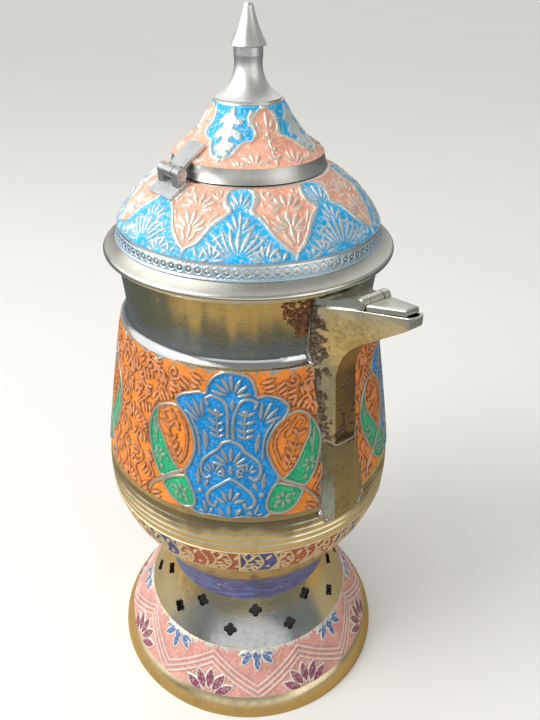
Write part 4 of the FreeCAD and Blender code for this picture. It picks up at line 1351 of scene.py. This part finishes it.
def build_heel(material):
    """Heel of the spout: rows climb from its rounded foot, columns cross from root to root and back.

    Outside, each row runs straight from an edge over the body to the flat front and on to the other edge.
    The way back lies inside the body.
    """
    ends = [outer_rim("spout_heel", top) for top in (False, True)]
    foot, seam = ends[0][1], ends[1][1]
    fronts = [math.sqrt(radius ** 2 - FRONT_HALF ** 2) for radius, _ in ends]
    height = (foot + (seam - foot) * np.linspace(0.0, 1.0, HEEL_ROWS) ** 2)[:, None]
    front = np.interp(height, [foot, seam], fronts)
    body = body_radius(height)
    root = heel_half(height)
    edge = np.sqrt(body ** 2 - root ** 2) + HEEL_EDGE
    aside = np.linspace(1.0, 0.0, HEEL_FLANK_COLUMNS)
    flank = FRONT_HALF + (root - FRONT_HALF) * aside
    slope = front + (edge - front) * aside
    flat = FRONT_HALF * np.linspace(-1.0, 1.0, HEEL_FRONT_COLUMNS)[None, 1:-1] * np.ones_like(height)
    across = np.hstack([-flank, flat, flank[:, ::-1]])
    reach = np.hstack([slope, np.broadcast_to(front, flat.shape), slope[:, ::-1]])
    back = across[:, ::-1]
    across = np.hstack([across, back])
    reach = np.hstack([reach, np.sqrt(body ** 2 - back ** 2) - HEEL_SUNK])
    rows, columns = across.shape
    points = np.stack([reach, across, np.broadcast_to(height, across.shape)], -1).reshape(-1, 3)
    faces = grid_faces(rows, columns, False, True).tolist()
    faces.append(list(range(columns))[::-1])
    faces.append(list(range((rows - 1) * columns, rows * columns)))
    piece = new_piece("spout_heel_finish", points, faces, "pot", material, HEEL_SHARP)
    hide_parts("spout_heel")


# Least and greatest radius of each kind of bead, in millimetres
ROOT_BEAD = (0.25, 0.85)
SEAM_BEAD = (0.3, 0.6)
HEEL_BEAD = (0.5, 1.5)
SEAM_SEED = 5
HEEL_SEED = 7
SOLDER_STEPS = 140
SOLDER_TOP_GAP = 2.5
ROOT_THICKENED = 2.4
ROOT_THICK_RISE = 20.0
HEEL_BEAD_STEPS = 30
HEEL_BEAD_RISE = 1.2 * HEEL_CORNER
HEEL_BEAD_OUT = 0.5


def heel_path():
    """Path round the edge of the heel's foot, up both of its rounded corners."""
    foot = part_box("spout_heel")[0][2] / MM
    turn = np.linspace(0.0, math.pi / 2, HEEL_BEAD_STEPS)
    height = foot + HEEL_BEAD_RISE * (1 - np.sin(turn))
    half = heel_half(height)
    reach = np.sqrt(body_radius(height) ** 2 - half ** 2) + HEEL_BEAD_OUT
    corner = np.column_stack([reach, -half, height])
    return np.vstack([corner, corner[::-1] * (1, -1, 1)])


def build_solder():
    """Beads of solder up both roots of the spout, across its front over the heel and under the heel."""
    low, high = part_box("spout_heel")
    foot = low[2] / MM
    seam = high[2] / MM
    front = high[0] / MM
    top = outer_rim("neck", True)[1] - SOLDER_TOP_GAP
    height = np.linspace(foot + HEEL_CORNER, top, SOLDER_STEPS)
    halves = [sizes().root_low, sizes().root_seam, sizes().root_shoulder, sizes().root_high]
    half = np.interp(height, [foot, seam, outer_rim("body_wall", True)[1], top], np.array(halves) / MM)
    half = np.where(height < seam, heel_half(height), half)
    reach = np.sqrt(body_radius(height) ** 2 - half ** 2)
    thick = np.interp(height, [foot, foot + ROOT_THICK_RISE], [ROOT_THICKENED, 1.0])
    for index, side in enumerate((-1, 1)):
        path = np.column_stack([reach, side * half, height])
        radius = uneven(SOLDER_STEPS, *ROOT_BEAD, index) * thick
        bead(f"root_solder_{index + 1}", path, radius, solder_metal())
    path = front_seam(seam - SEAM_DROP, front - SEAM_INSET, sizes().root_seam / MM, SEAM_ROOT_RISE)
    bead("seam_solder", path, uneven(len(path), *SEAM_BEAD, SEAM_SEED), solder_metal())
    path = heel_path()
    bead("heel_solder", path, uneven(len(path), *HEEL_BEAD, HEEL_SEED), solder_metal())


# Patch of the deposit: heights in millimetres, and its middles and half-widths there in degrees
CRUST_HEIGHTS = (197.0, 201.0, 206.0, 213.0)
CRUST_MIDDLES = (-15.0, -15.5, -18.0, -18.8)
CRUST_HALVES = (0.8, 2.2, 4.8, 6.2)
CRUST_TURN = (-27.0, -10.0)
CRUST_ROWS = 80
CRUST_COLUMNS = 76
CRUST_SUNK = -1.1
CRUST_LUMPS = 170
CRUST_SEED = 11


def build_crust():
    """Brown deposit on the neck beside the spout: lumps scattered over a patch that narrows downward.

    Between the lumps the coat is sunk under the neck's hollow, so that only the lumps show.
    """
    lower = np.array([body_radius(CRUST_HEIGHTS[0]) + CRUST_SUNK, CRUST_HEIGHTS[0]])
    upper = np.array([body_radius(CRUST_HEIGHTS[-1]) + CRUST_SUNK, CRUST_HEIGHTS[-1]])
    profile = arc_profile(lower, upper, 0.0, np.linspace(0, 1, CRUST_ROWS))
    azimuth = np.radians(np.linspace(*CRUST_TURN, CRUST_COLUMNS))
    x = np.degrees(azimuth) * np.ones((CRUST_ROWS, 1))
    y = np.broadcast_to(profile[1][:, None], x.shape)
    chance = np.random.default_rng(CRUST_SEED)
    relief = np.zeros(x.shape)
    for _ in range(CRUST_LUMPS):
        height = chance.uniform(CRUST_HEIGHTS[0], CRUST_HEIGHTS[-1])
        spread = np.interp(height, CRUST_HEIGHTS, CRUST_HALVES)
        middle = np.interp(height, CRUST_HEIGHTS, CRUST_MIDDLES) + spread * chance.uniform(-1, 1)
        lump = np.hypot((x - middle) * 0.9, y - height) / chance.uniform(0.4, 1.2)
        relief = np.maximum(relief, chance.uniform(1.1, 1.9) * np.exp(-lump ** 4))
    coat = Coat(x.shape, colours().crust)
    coat.relief = relief * np.clip(np.minimum(y - lower[1], upper[1] - y) / 0.6, 0, 1)
    coat.paint *= np.clip(0.3 + 0.5 * relief, 0.3, 1.3)[..., None]
    turned_coat("neck_crust", profile, azimuth, coat, "pot", crust_deposit())


# Widths of rounded edges, in millimetres
STRIP_ROUND = 0.12
LIP_ROUND = 0.4
PLATE_ROUND = 0.35
LEAF_ROUND = 0.3


def rail_share(*ends):
    """Only edges at the sloping rail along the lip's top are rounded."""
    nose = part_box("spout_lip")[1]
    return float(all(end.z - nose[2] - RAIL_RISE * (end.x - nose[0]) > -RAIL_DEPTH * MM for end in ends))


def build_spout():
    """Rounded copies of the spout's plates, the solder on its seams and the deposit beside it."""
    tone = colours()
    cheeks = spout_brass("cheek_brass", tone.spout, tone.spout)
    # The strip's front is darker than its sides: browning and painted shade
    browned_shaded_strips = spout_brass("strip_brass", tone.strip, tone.spout)
    # The heel is paler low on its near side: a painted highlight
    heels = spout_brass("heel_brass", tone.heel, tone.heel, tone.stamped)
    piece = softened("spout_front_strip", "spout_front_strip_finish", STRIP_ROUND, browned_shaded_strips)
    build_heel(heels)
    piece = softened("spout_lip", "spout_lip_finish", LIP_ROUND, cheeks, rail_share)
    for node in ("spout_top_plate", "spout_flap"):
        piece = softened(node, node + "_finish", PLATE_ROUND, pale())
    finish_nodes(cheeks, "spout_left_cheek", "spout_right_cheek")
    finish_nodes(grey(), "flap_pin")
    build_solder()
    build_crust()


def build_handle():
    """Finish of the handle, its brackets and its rivets."""
    finish_nodes(gold(), "handle_bar", "handle_upper_bracket", "handle_lower_bracket")
    finish_nodes(pale(), "handle_rivets")


# Cover and lid

DOME_REPEATS = 8
LID_REPEATS = 4
BEAD_COUNT = 96
# Outlines of the rising shapes: the way up the slope, and the half-width there at the radius given
DOME_RADIUS = 42.0
DOME_HEIGHTS = (0.0, 2.4, 4.5, 8.5, 12.5, 15.5, 17.2, 18.6, 20.5, 23.0, 25.5, 27.2, 28.2)
DOME_HALVES = (17.2, 16.5, 14.0, 11.0, 8.6, 6.6, 4.7, 4.6, 5.8, 6.3, 5.6, 3.4, 0.0)
LID_RADIUS = 22.0
LID_HEIGHTS = (0.0, 3.0, 5.0, 8.0, 10.0, 11.5, 13.0, 14.5, 16.0, 18.0, 20.0, 21.8, 23.0)
LID_HALVES = (18.2, 17.3, 14.0, 12.2, 11.0, 8.0, 5.4, 4.7, 5.6, 6.6, 6.6, 5.0, 0.0)
LID_TOP_SHARE = 0.985
# Lobes of the lid's hanging leaf: height on its stem, reach aside and drop
LID_LOBES = ((21.0, 4.2, 4.0), (16.6, 5.6, 5.0), (12.4, 5.2, 6.4), (10.0, 2.6, 6.2))
HEAD_LEAN = 0.8
HEAD_SWAY = 0.3
# Share and spread of the pale painted highlight beside the raised lines of the dome and lid
LINE_HIGHLIGHT = 0.12
LINE_HIGHLIGHT_SPREAD = 0.6


def counter_ornament(y, edge, tints, rising, hanging):
    """Shapes that rise from the foot to a round head, and shapes between them that hang from the top.

    edge is the signed distance to the rising shapes' outline, tints are the paints inside and outside it, and
    rising and hanging are the signed distances to the raised leaves inside and outside it.
    """
    # Pale tint beside the raised lines: a painted highlight
    coat = Coat(y.shape, tints[1], colours().pale)
    coat.fill(edge, tints[0])
    coat.raise_lines(within(edge + 1.2, rising + 0.12), 0.9, 0.85, LINE_HIGHLIGHT, LINE_HIGHLIGHT_SPREAD)
    coat.raise_lines(within(1.2 - edge, hanging + 0.12), 0.9, 0.85, LINE_HIGHLIGHT, LINE_HIGHLIGHT_SPREAD)
    coat.raise_lines(np.abs(edge) - 0.65, 1.0, 1.0, LINE_HIGHLIGHT, LINE_HIGHLIGHT_SPREAD)
    return coat


def dome_leaves(x, beside, y):
    """Long leaves that spread from the foot of each blue shape, and palmettes in the orange ones."""
    far = np.abs(x)
    rising = nearest(
        fan(x, y, (0.0, 0.4), 90, 64, 9, 12.4, 0.6, 1.05),
        fan(x, y, (0.0, 9.6), 90, 50, 5, 8.2, 0.6, 0.8),
        fan(x, y, (0.0, 18.0), 90, 72, 7, 8.6, 0.65, 0.8),
        fan(far, y, (9.6, 0.2), 112, 58, 5, 6.6, 0.6, 0.9),
        fan(far, y, (14.4, 0.0), 118, 44, 3, 4.4, 0.55, 0.9),
        stroke(far, y, flowing([(2.0, 8.4), (5.0, 9.6), (8.2, 7.0)]), 0.4),
    )
    hanging = nearest(
        fan(beside, y, (0.0, 3.4), 90, 26, 3, 9.0, 0.75, 0.85),
        fan(beside, y, (0.0, 9.4), 90, 74, 7, 8.2, 0.85, 0.9),
        fan(beside, y, (0.0, 18.0), 90, 92, 7, 6.8, 0.75, 0.95),
        leaf(beside, y, (6.6, 11.6), (8.2, 17.0), 0.8),
        hatch(beside, y, (7.2, 19.6), 70, 3, 5.2, 0.7),
        stroke(beside, y, curl((5.2, 24.8), 2.4, 200, 1.1), 0.4),
    )
    return rising, hanging


def lid_leaves(x, beside, y):
    """Strokes in each orange shape, and one broad lobed leaf that hangs in each blue one."""
    far = np.abs(x)
    rising = nearest(
        fan(x, y, (0.0, 14.0), 90, 70, 5, 8.0, 0.6, 0.85),
        spray(x, y, (0.0, 1.0), (0.0, 12.0), 3, 4.0, 0.6),
        fan(far, y, (7.4, 0.6), 84, 62, 5, 6.4, 0.6, 0.9),
        fan(far, y, (13.6, 0.2), 100, 40, 3, 4.4, 0.55, 0.9),
    )
    lobes = [leaf(beside, y, (-1.5, high), (reach, high - drop), 1.5) for high, reach, drop in LID_LOBES]
    hanging = nearest(leaf(beside, y, (0.0, 24.0), (0.0, 3.6), 2.0), *lobes)
    return rising, hanging


def head_offsets(radius, azimuth, way, middle, count):
    """Arcs from the rising and the hanging middles, and the way up, each a little unsteady."""
    along, up = unsteady(azimuth, way, HEAD_SWAY)
    x = radius * repeat_offset(azimuth, middle, count) + along
    beside = radius * math.pi / count - np.abs(x)
    return x, beside, way + up


def border_beads(x, y, repeat):
    """Stamped ring of small circles between two plain edges."""
    coat = Coat(x.shape, colours().grey)
    top = y.max()
    middle = 0.46 * top
    ring = np.abs(disc(x, y, (0.0, middle), 0.25 * top)) - 0.28
    dot = disc(x, y, (0.0, middle), 0.45)
    tick = within(np.abs(np.abs(x) - repeat) - 0.2, np.abs(y - middle) - 0.3 * top)
    coat.raise_lines(nearest(ring, dot, tick), 0.6)
    coat.raise_lines(np.minimum(y, top - y) - 0.55, 0.9)
    coat.bare[:] = 1.0
    return coat


def build_stamped_border():
    """Ring of stamped circles at the foot of the dome."""
    profile = node_profile("dome_border", 0.0)
    radius = profile[0][:, None]
    azimuth = whole_turn(radius.max())
    x = radius * repeat_offset(azimuth, 0.0, BEAD_COUNT)
    y = np.broadcast_to(arc_length(*profile)[:, None], x.shape)
    coat = border_beads(x, y, radius * (math.pi / BEAD_COUNT))
    turned_coat("dome_border_beads", profile, azimuth, coat, "cover", stamped_metal())


def build_cover():
    """Enamelled quarters of the dome, its stamped border and the plain flange."""
    upper = outer_rim("dome", True)
    lower = outer_rim("dome", False)
    seat = outer_rim("lid_band", False)[0]
    profile = node_profile("dome", sizes().dome_bulge, 0.0, (lower[0] - seat) / (lower[0] - upper[0]))
    radius = profile[0][:, None]
    way = arc_length(*profile)[:, None]
    for quarter in range(QUARTERS):
        start = sizes().dome_turn + quarter * QUARTER
        azimuth = part_turn(start, start + QUARTER, radius.max())
        x, beside, y = head_offsets(radius, azimuth, way, sizes().dome_turn, DOME_REPEATS)
        edge = (np.abs(x) - np.interp(y, DOME_HEIGHTS, DOME_HALVES) * radius / DOME_RADIUS) * HEAD_LEAN
        tints = (colours().sky, colours().salmon)
        coat = counter_ornament(y, edge, tints, *dome_leaves(x, beside, y))
        coat.relief *= np.clip((way.max() - way) / 1.5, 0.25, 1)
        name = f"dome_enamel_{quarter + 1}"
        turned_coat(name, profile, azimuth, coat, "cover", cover_enamel())
    build_stamped_border()
    finish_nodes(pale(), "cover_flange", "dome_border", "throat_ring", "cover_collar", "dome")


def build_lid():
    """Enamelled cone of the lid, its plain band and the finial."""
    profile = node_profile("lid_cone", -sizes().cone_hollow, 0.0, LID_TOP_SHARE)
    radius = profile[0][:, None]
    way = arc_length(*profile)[:, None]
    azimuth = whole_turn(radius.max())
    x, beside, y = head_offsets(radius, azimuth, way, sizes().lid_turn, LID_REPEATS)
    edge = (np.abs(x) - np.interp(y, LID_HEIGHTS, LID_HALVES) * radius / LID_RADIUS) * HEAD_LEAN
    tints = (colours().salmon, colours().sky)
    coat = counter_ornament(y, edge, tints, *lid_leaves(x, beside, y))
    turned_coat("lid_enamel", profile, azimuth, coat, "lid", cover_enamel())
    finish_nodes(pale(), "lid_cone")
    finish_nodes(band_brass(), "lid_band")
    finish_nodes(satin_brass(), "finial")
    finish_nodes(grey(), "finial_nut")


def build_hinge():
    """Rounded copies of the lid hinge's leaves, and the finish of its pin."""
    for node in ("lid_hinge_leaf", "dome_hinge_leaf"):
        piece = softened(node, node + "_finish", LEAF_ROUND, grey())
    finish_nodes(grey(), "lid_hinge_pin")


# Stage

FLOOR_HALF = 8.0
LIGHT_TARGET = (0.0, 0.0, 0.17)
KEY_PLACE = (-0.25, -0.85, 0.85)
KEY_SIDE = 0.6
FILL_PLACE = (0.95, 0.25, 0.45)
FILL_SIDE = 0.7
# Where a bright side of the room begins and where it is full: cosine of the angle from its middle
ROOM_EDGE = (-0.4, 0.8)
LEFT_EDGE = (0.72, 0.84)
BEHIND_EDGE = (0.7, 0.86)
AHEAD_EDGE = (0.6, 0.9)
# Rise at which the low window ends
LOW_WINDOW_TOP = (0.3, 0.4)


def build_floor():
    """Wide plain floor, pale to the camera; the metal mirrors it warm near the pot and dark far off."""
    mesh = bpy.data.meshes.new("floor")
    side = FLOOR_HALF
    corners = [(-side, -side, 0), (side, -side, 0), (side, side, 0), (-side, side, 0)]
    mesh.from_pydata(corners, [], [(0, 1, 2, 3)])
    stage = bpy.context.scene.dallah_stage
    material, tree, shader = new_material("floor_paper")
    grain = cloudy(tree, 3.0, 0.97, 1.0)
    reach = put(tree, "ShaderNodeVectorMath", {"operation": "LENGTH"})
    wire(tree, own_place(tree), reach.inputs[0])
    wavy = sums(tree, "ADD", reach.outputs["Value"], cloudy(tree, 9.0, -0.03, 0.03))
    far = ranged(tree, wavy, stage.near, stage.far)
    mirror = tinted(tree, far, (*stage.floor_near, 1.0), (*stage.floor_far, 1.0))
    mirrored = put(tree, "ShaderNodeLightPath").outputs["Is Glossy Ray"]
    tint = tinted(tree, mirrored, (*stage.floor, 1.0), mirror)
    wire(tree, tinted(tree, grain, (0.0, 0.0, 0.0, 1.0), tint), shader["Base Color"])
    shader["Roughness"].default_value = 0.8
    mesh.materials.append(material)
    floor = new_object("floor", mesh)


def build_light(name, place, power, side):
    """Square soft light that faces the pot."""
    lamp = bpy.data.lights.new(name, "AREA")
    lamp.energy = power
    lamp.size = side
    holder = new_object(name, lamp)
    holder.location = place
    holder.rotation_euler = (Vector(LIGHT_TARGET) - Vector(place)).to_track_quat("-Z", "Y").to_euler()


def facing(tree, way, heading, low, high):
    """1 for directions close to a heading, 0 for those far from it."""
    made = put(tree, "ShaderNodeVectorMath", {"operation": "DOT_PRODUCT"})
    wire(tree, way, made.inputs[0])
    wire(tree, Vector(heading).normalized(), made.inputs[1])
    return ranged(tree, made.outputs["Value"], low, high)


def build_world():
    """Soft room, brightest to the camera's left; metal mirrors two bright windows in a dim room."""
    stage = bpy.context.scene.dallah_stage
    world = bpy.data.worlds.new("studio")
    world.use_nodes = True
    tree = world.node_tree
    tree.nodes.clear()
    way = put(tree, "ShaderNodeTexCoord").outputs["Generated"]
    path = put(tree, "ShaderNodeLightPath").outputs
    left = (math.sin(stage.turn), -math.cos(stage.turn), 0.8)
    behind = (math.cos(stage.turn), math.sin(stage.turn), 0.2)
    ahead = (-math.cos(stage.turn), -math.sin(stage.turn), 0.8)
    soft = ranged(tree, facing(tree, way, left, *ROOM_EDGE), 0.0, 1.0, stage.room_low, stage.room_high)
    low = ranged(tree, axes(tree, way)["Z"], *LOW_WINDOW_TOP, 1.0, 0.0)
    low_window = sums(tree, "MULTIPLY", facing(tree, way, behind, *BEHIND_EDGE), low)
    left_window = facing(tree, way, left, *LEFT_EDGE)
    back_wall = facing(tree, way, ahead, *AHEAD_EDGE)
    mirrored = sums(tree, "MAXIMUM", ranged(tree, left_window, 0.0, 1.0, stage.mirror_low, stage.mirror_high),
                    ranged(tree, low_window, 0.0, 1.0, stage.mirror_low, stage.mirror_behind))
    mirrored = sums(tree, "MAXIMUM", mirrored, ranged(tree, back_wall, 0.0, 1.0, 0.0, stage.mirror_ahead))
    level = ranged(tree, path["Is Glossy Ray"], 0.0, 1.0, soft, mirrored)
    room = put(tree, "ShaderNodeBackground", Color=(1.0, 1.0, 1.0, 1.0), Strength=level)
    seen = put(tree, "ShaderNodeBackground", Color=(*stage.floor, 1.0), Strength=1.0)
    mix = put(tree, "ShaderNodeMixShader")
    wire(tree, path["Is Camera Ray"], mix.inputs[0])
    wire(tree, room.outputs[0], mix.inputs[1])
    wire(tree, seen.outputs[0], mix.inputs[2])
    output = tree.nodes.new("ShaderNodeOutputWorld")
    tree.links.new(mix.outputs[0], output.inputs["Surface"])
    bpy.context.scene.world = world


def build_camera():
    """Camera at the photo's angle, turned about the pot's axis and tilted down."""
    stage = bpy.context.scene.dallah_stage
    data = bpy.data.cameras.new("camera")
    data.lens = stage.lens
    data.shift_x = stage.shift
    data.clip_start = 0.01
    camera = new_object("camera", data)
    out = Vector((math.cos(stage.turn), math.sin(stage.turn), 0.0))
    camera.location = out * stage.reach + Vector((0.0, 0.0, stage.rise))
    look = -out * math.cos(stage.pitch) - Vector((0.0, 0.0, math.sin(stage.pitch)))
    camera.rotation_euler = look.to_track_quat("-Z", "Y").to_euler()
    bpy.context.scene.camera = camera


def build_stage():
    """Floor, room, camera and lights, without the objects that a new scene starts with."""
    stage = bpy.context.scene.dallah_stage
    for name in ("Cube", "Light", "Camera"):
        spare = bpy.data.objects.get(name)
        if spare:
            bpy.data.objects.remove(spare)
    build_floor()
    build_world()
    build_camera()
    build_light("key", KEY_PLACE, stage.key, KEY_SIDE)
    build_light("fill", FILL_PLACE, stage.fill, FILL_SIDE)
    bpy.context.scene.view_settings.view_transform = "Standard"


# Operators

class DALLAH_OT_stage(bpy.types.Operator):
    """Make the floor, the light and the camera"""

    bl_idname = "dallah.stage"
    bl_label = "Stage"

    def execute(self, context):
        build_stage()
        return {"FINISHED"}


class DALLAH_OT_foot(bpy.types.Operator):
    """Paint the pierced foot"""

    bl_idname = "dallah.foot"
    bl_label = "Foot"

    def execute(self, context):
        build_foot()
        return {"FINISHED"}


class DALLAH_OT_bowl(bpy.types.Operator):
    """Finish the bowl, its border, the belly and the lilac ring"""

    bl_idname = "dallah.bowl"
    bl_label = "Bowl"

    def execute(self, context):
        build_bowl()
        return {"FINISHED"}


class DALLAH_OT_wall(bpy.types.Operator):
    """Enamel the wall and polish the neck"""

    bl_idname = "dallah.wall"
    bl_label = "Wall and neck"

    def execute(self, context):
        build_wall()
        return {"FINISHED"}


class DALLAH_OT_spout(bpy.types.Operator):
    """Finish the spout and its flap"""

    bl_idname = "dallah.spout"
    bl_label = "Spout"

    def execute(self, context):
        build_spout()
        return {"FINISHED"}


class DALLAH_OT_handle(bpy.types.Operator):
    """Finish the handle"""

    bl_idname = "dallah.handle"
    bl_label = "Handle"

    def execute(self, context):
        build_handle()
        return {"FINISHED"}


class DALLAH_OT_cover(bpy.types.Operator):
    """Enamel the dome and finish its border and flange"""

    bl_idname = "dallah.cover"
    bl_label = "Cover"

    def execute(self, context):
        build_cover()
        return {"FINISHED"}


class DALLAH_OT_lid(bpy.types.Operator):
    """Enamel the lid and finish its band, finial and hinge"""

    bl_idname = "dallah.lid"
    bl_label = "Lid and hinge"

    def execute(self, context):
        build_lid()
        build_hinge()
        return {"FINISHED"}


OPERATORS = (
    DALLAH_OT_stage, DALLAH_OT_foot, DALLAH_OT_bowl, DALLAH_OT_wall, DALLAH_OT_spout, DALLAH_OT_handle,
    DALLAH_OT_cover, DALLAH_OT_lid,
)


class DALLAH_PT_sidebar(bpy.types.Panel):
    """Sizes, colours and steps of the pot"""

    bl_label = "Dallah"
    bl_idname = "DALLAH_PT_sidebar"
    bl_space_type = "VIEW_3D"
    bl_region_type = "UI"
    bl_category = "Dallah"

    def draw(self, context):
        for group in (context.scene.dallah_colours, context.scene.dallah_sizes, context.scene.dallah_stage):
            box = self.layout.box()
            for key in group.__annotations__:
                box.prop(group, key)
        for operator in OPERATORS:
            self.layout.operator(operator.bl_idname)


CLASSES = (DallahColours, DallahSizes, DallahStage) + OPERATORS + (DALLAH_PT_sidebar,)


def register():
    for kind in CLASSES:
        bpy.utils.register_class(kind)
    bpy.types.Scene.dallah_colours = bpy.props.PointerProperty(type=DallahColours)
    bpy.types.Scene.dallah_sizes = bpy.props.PointerProperty(type=DallahSizes)
    bpy.types.Scene.dallah_stage = bpy.props.PointerProperty(type=DallahStage)


def unregister():
    del bpy.types.Scene.dallah_stage
    del bpy.types.Scene.dallah_sizes
    del bpy.types.Scene.dallah_colours
    for kind in reversed(CLASSES):
        bpy.utils.unregister_class(kind)


def main():
    """Run every step in order."""
    register()
    bpy.ops.dallah.stage()
    bpy.ops.dallah.foot()
    bpy.ops.dallah.bowl()
    bpy.ops.dallah.wall()
    bpy.ops.dallah.spout()
    bpy.ops.dallah.handle()
    bpy.ops.dallah.cover()
    bpy.ops.dallah.lid()


if __name__ == "__main__":
    main()
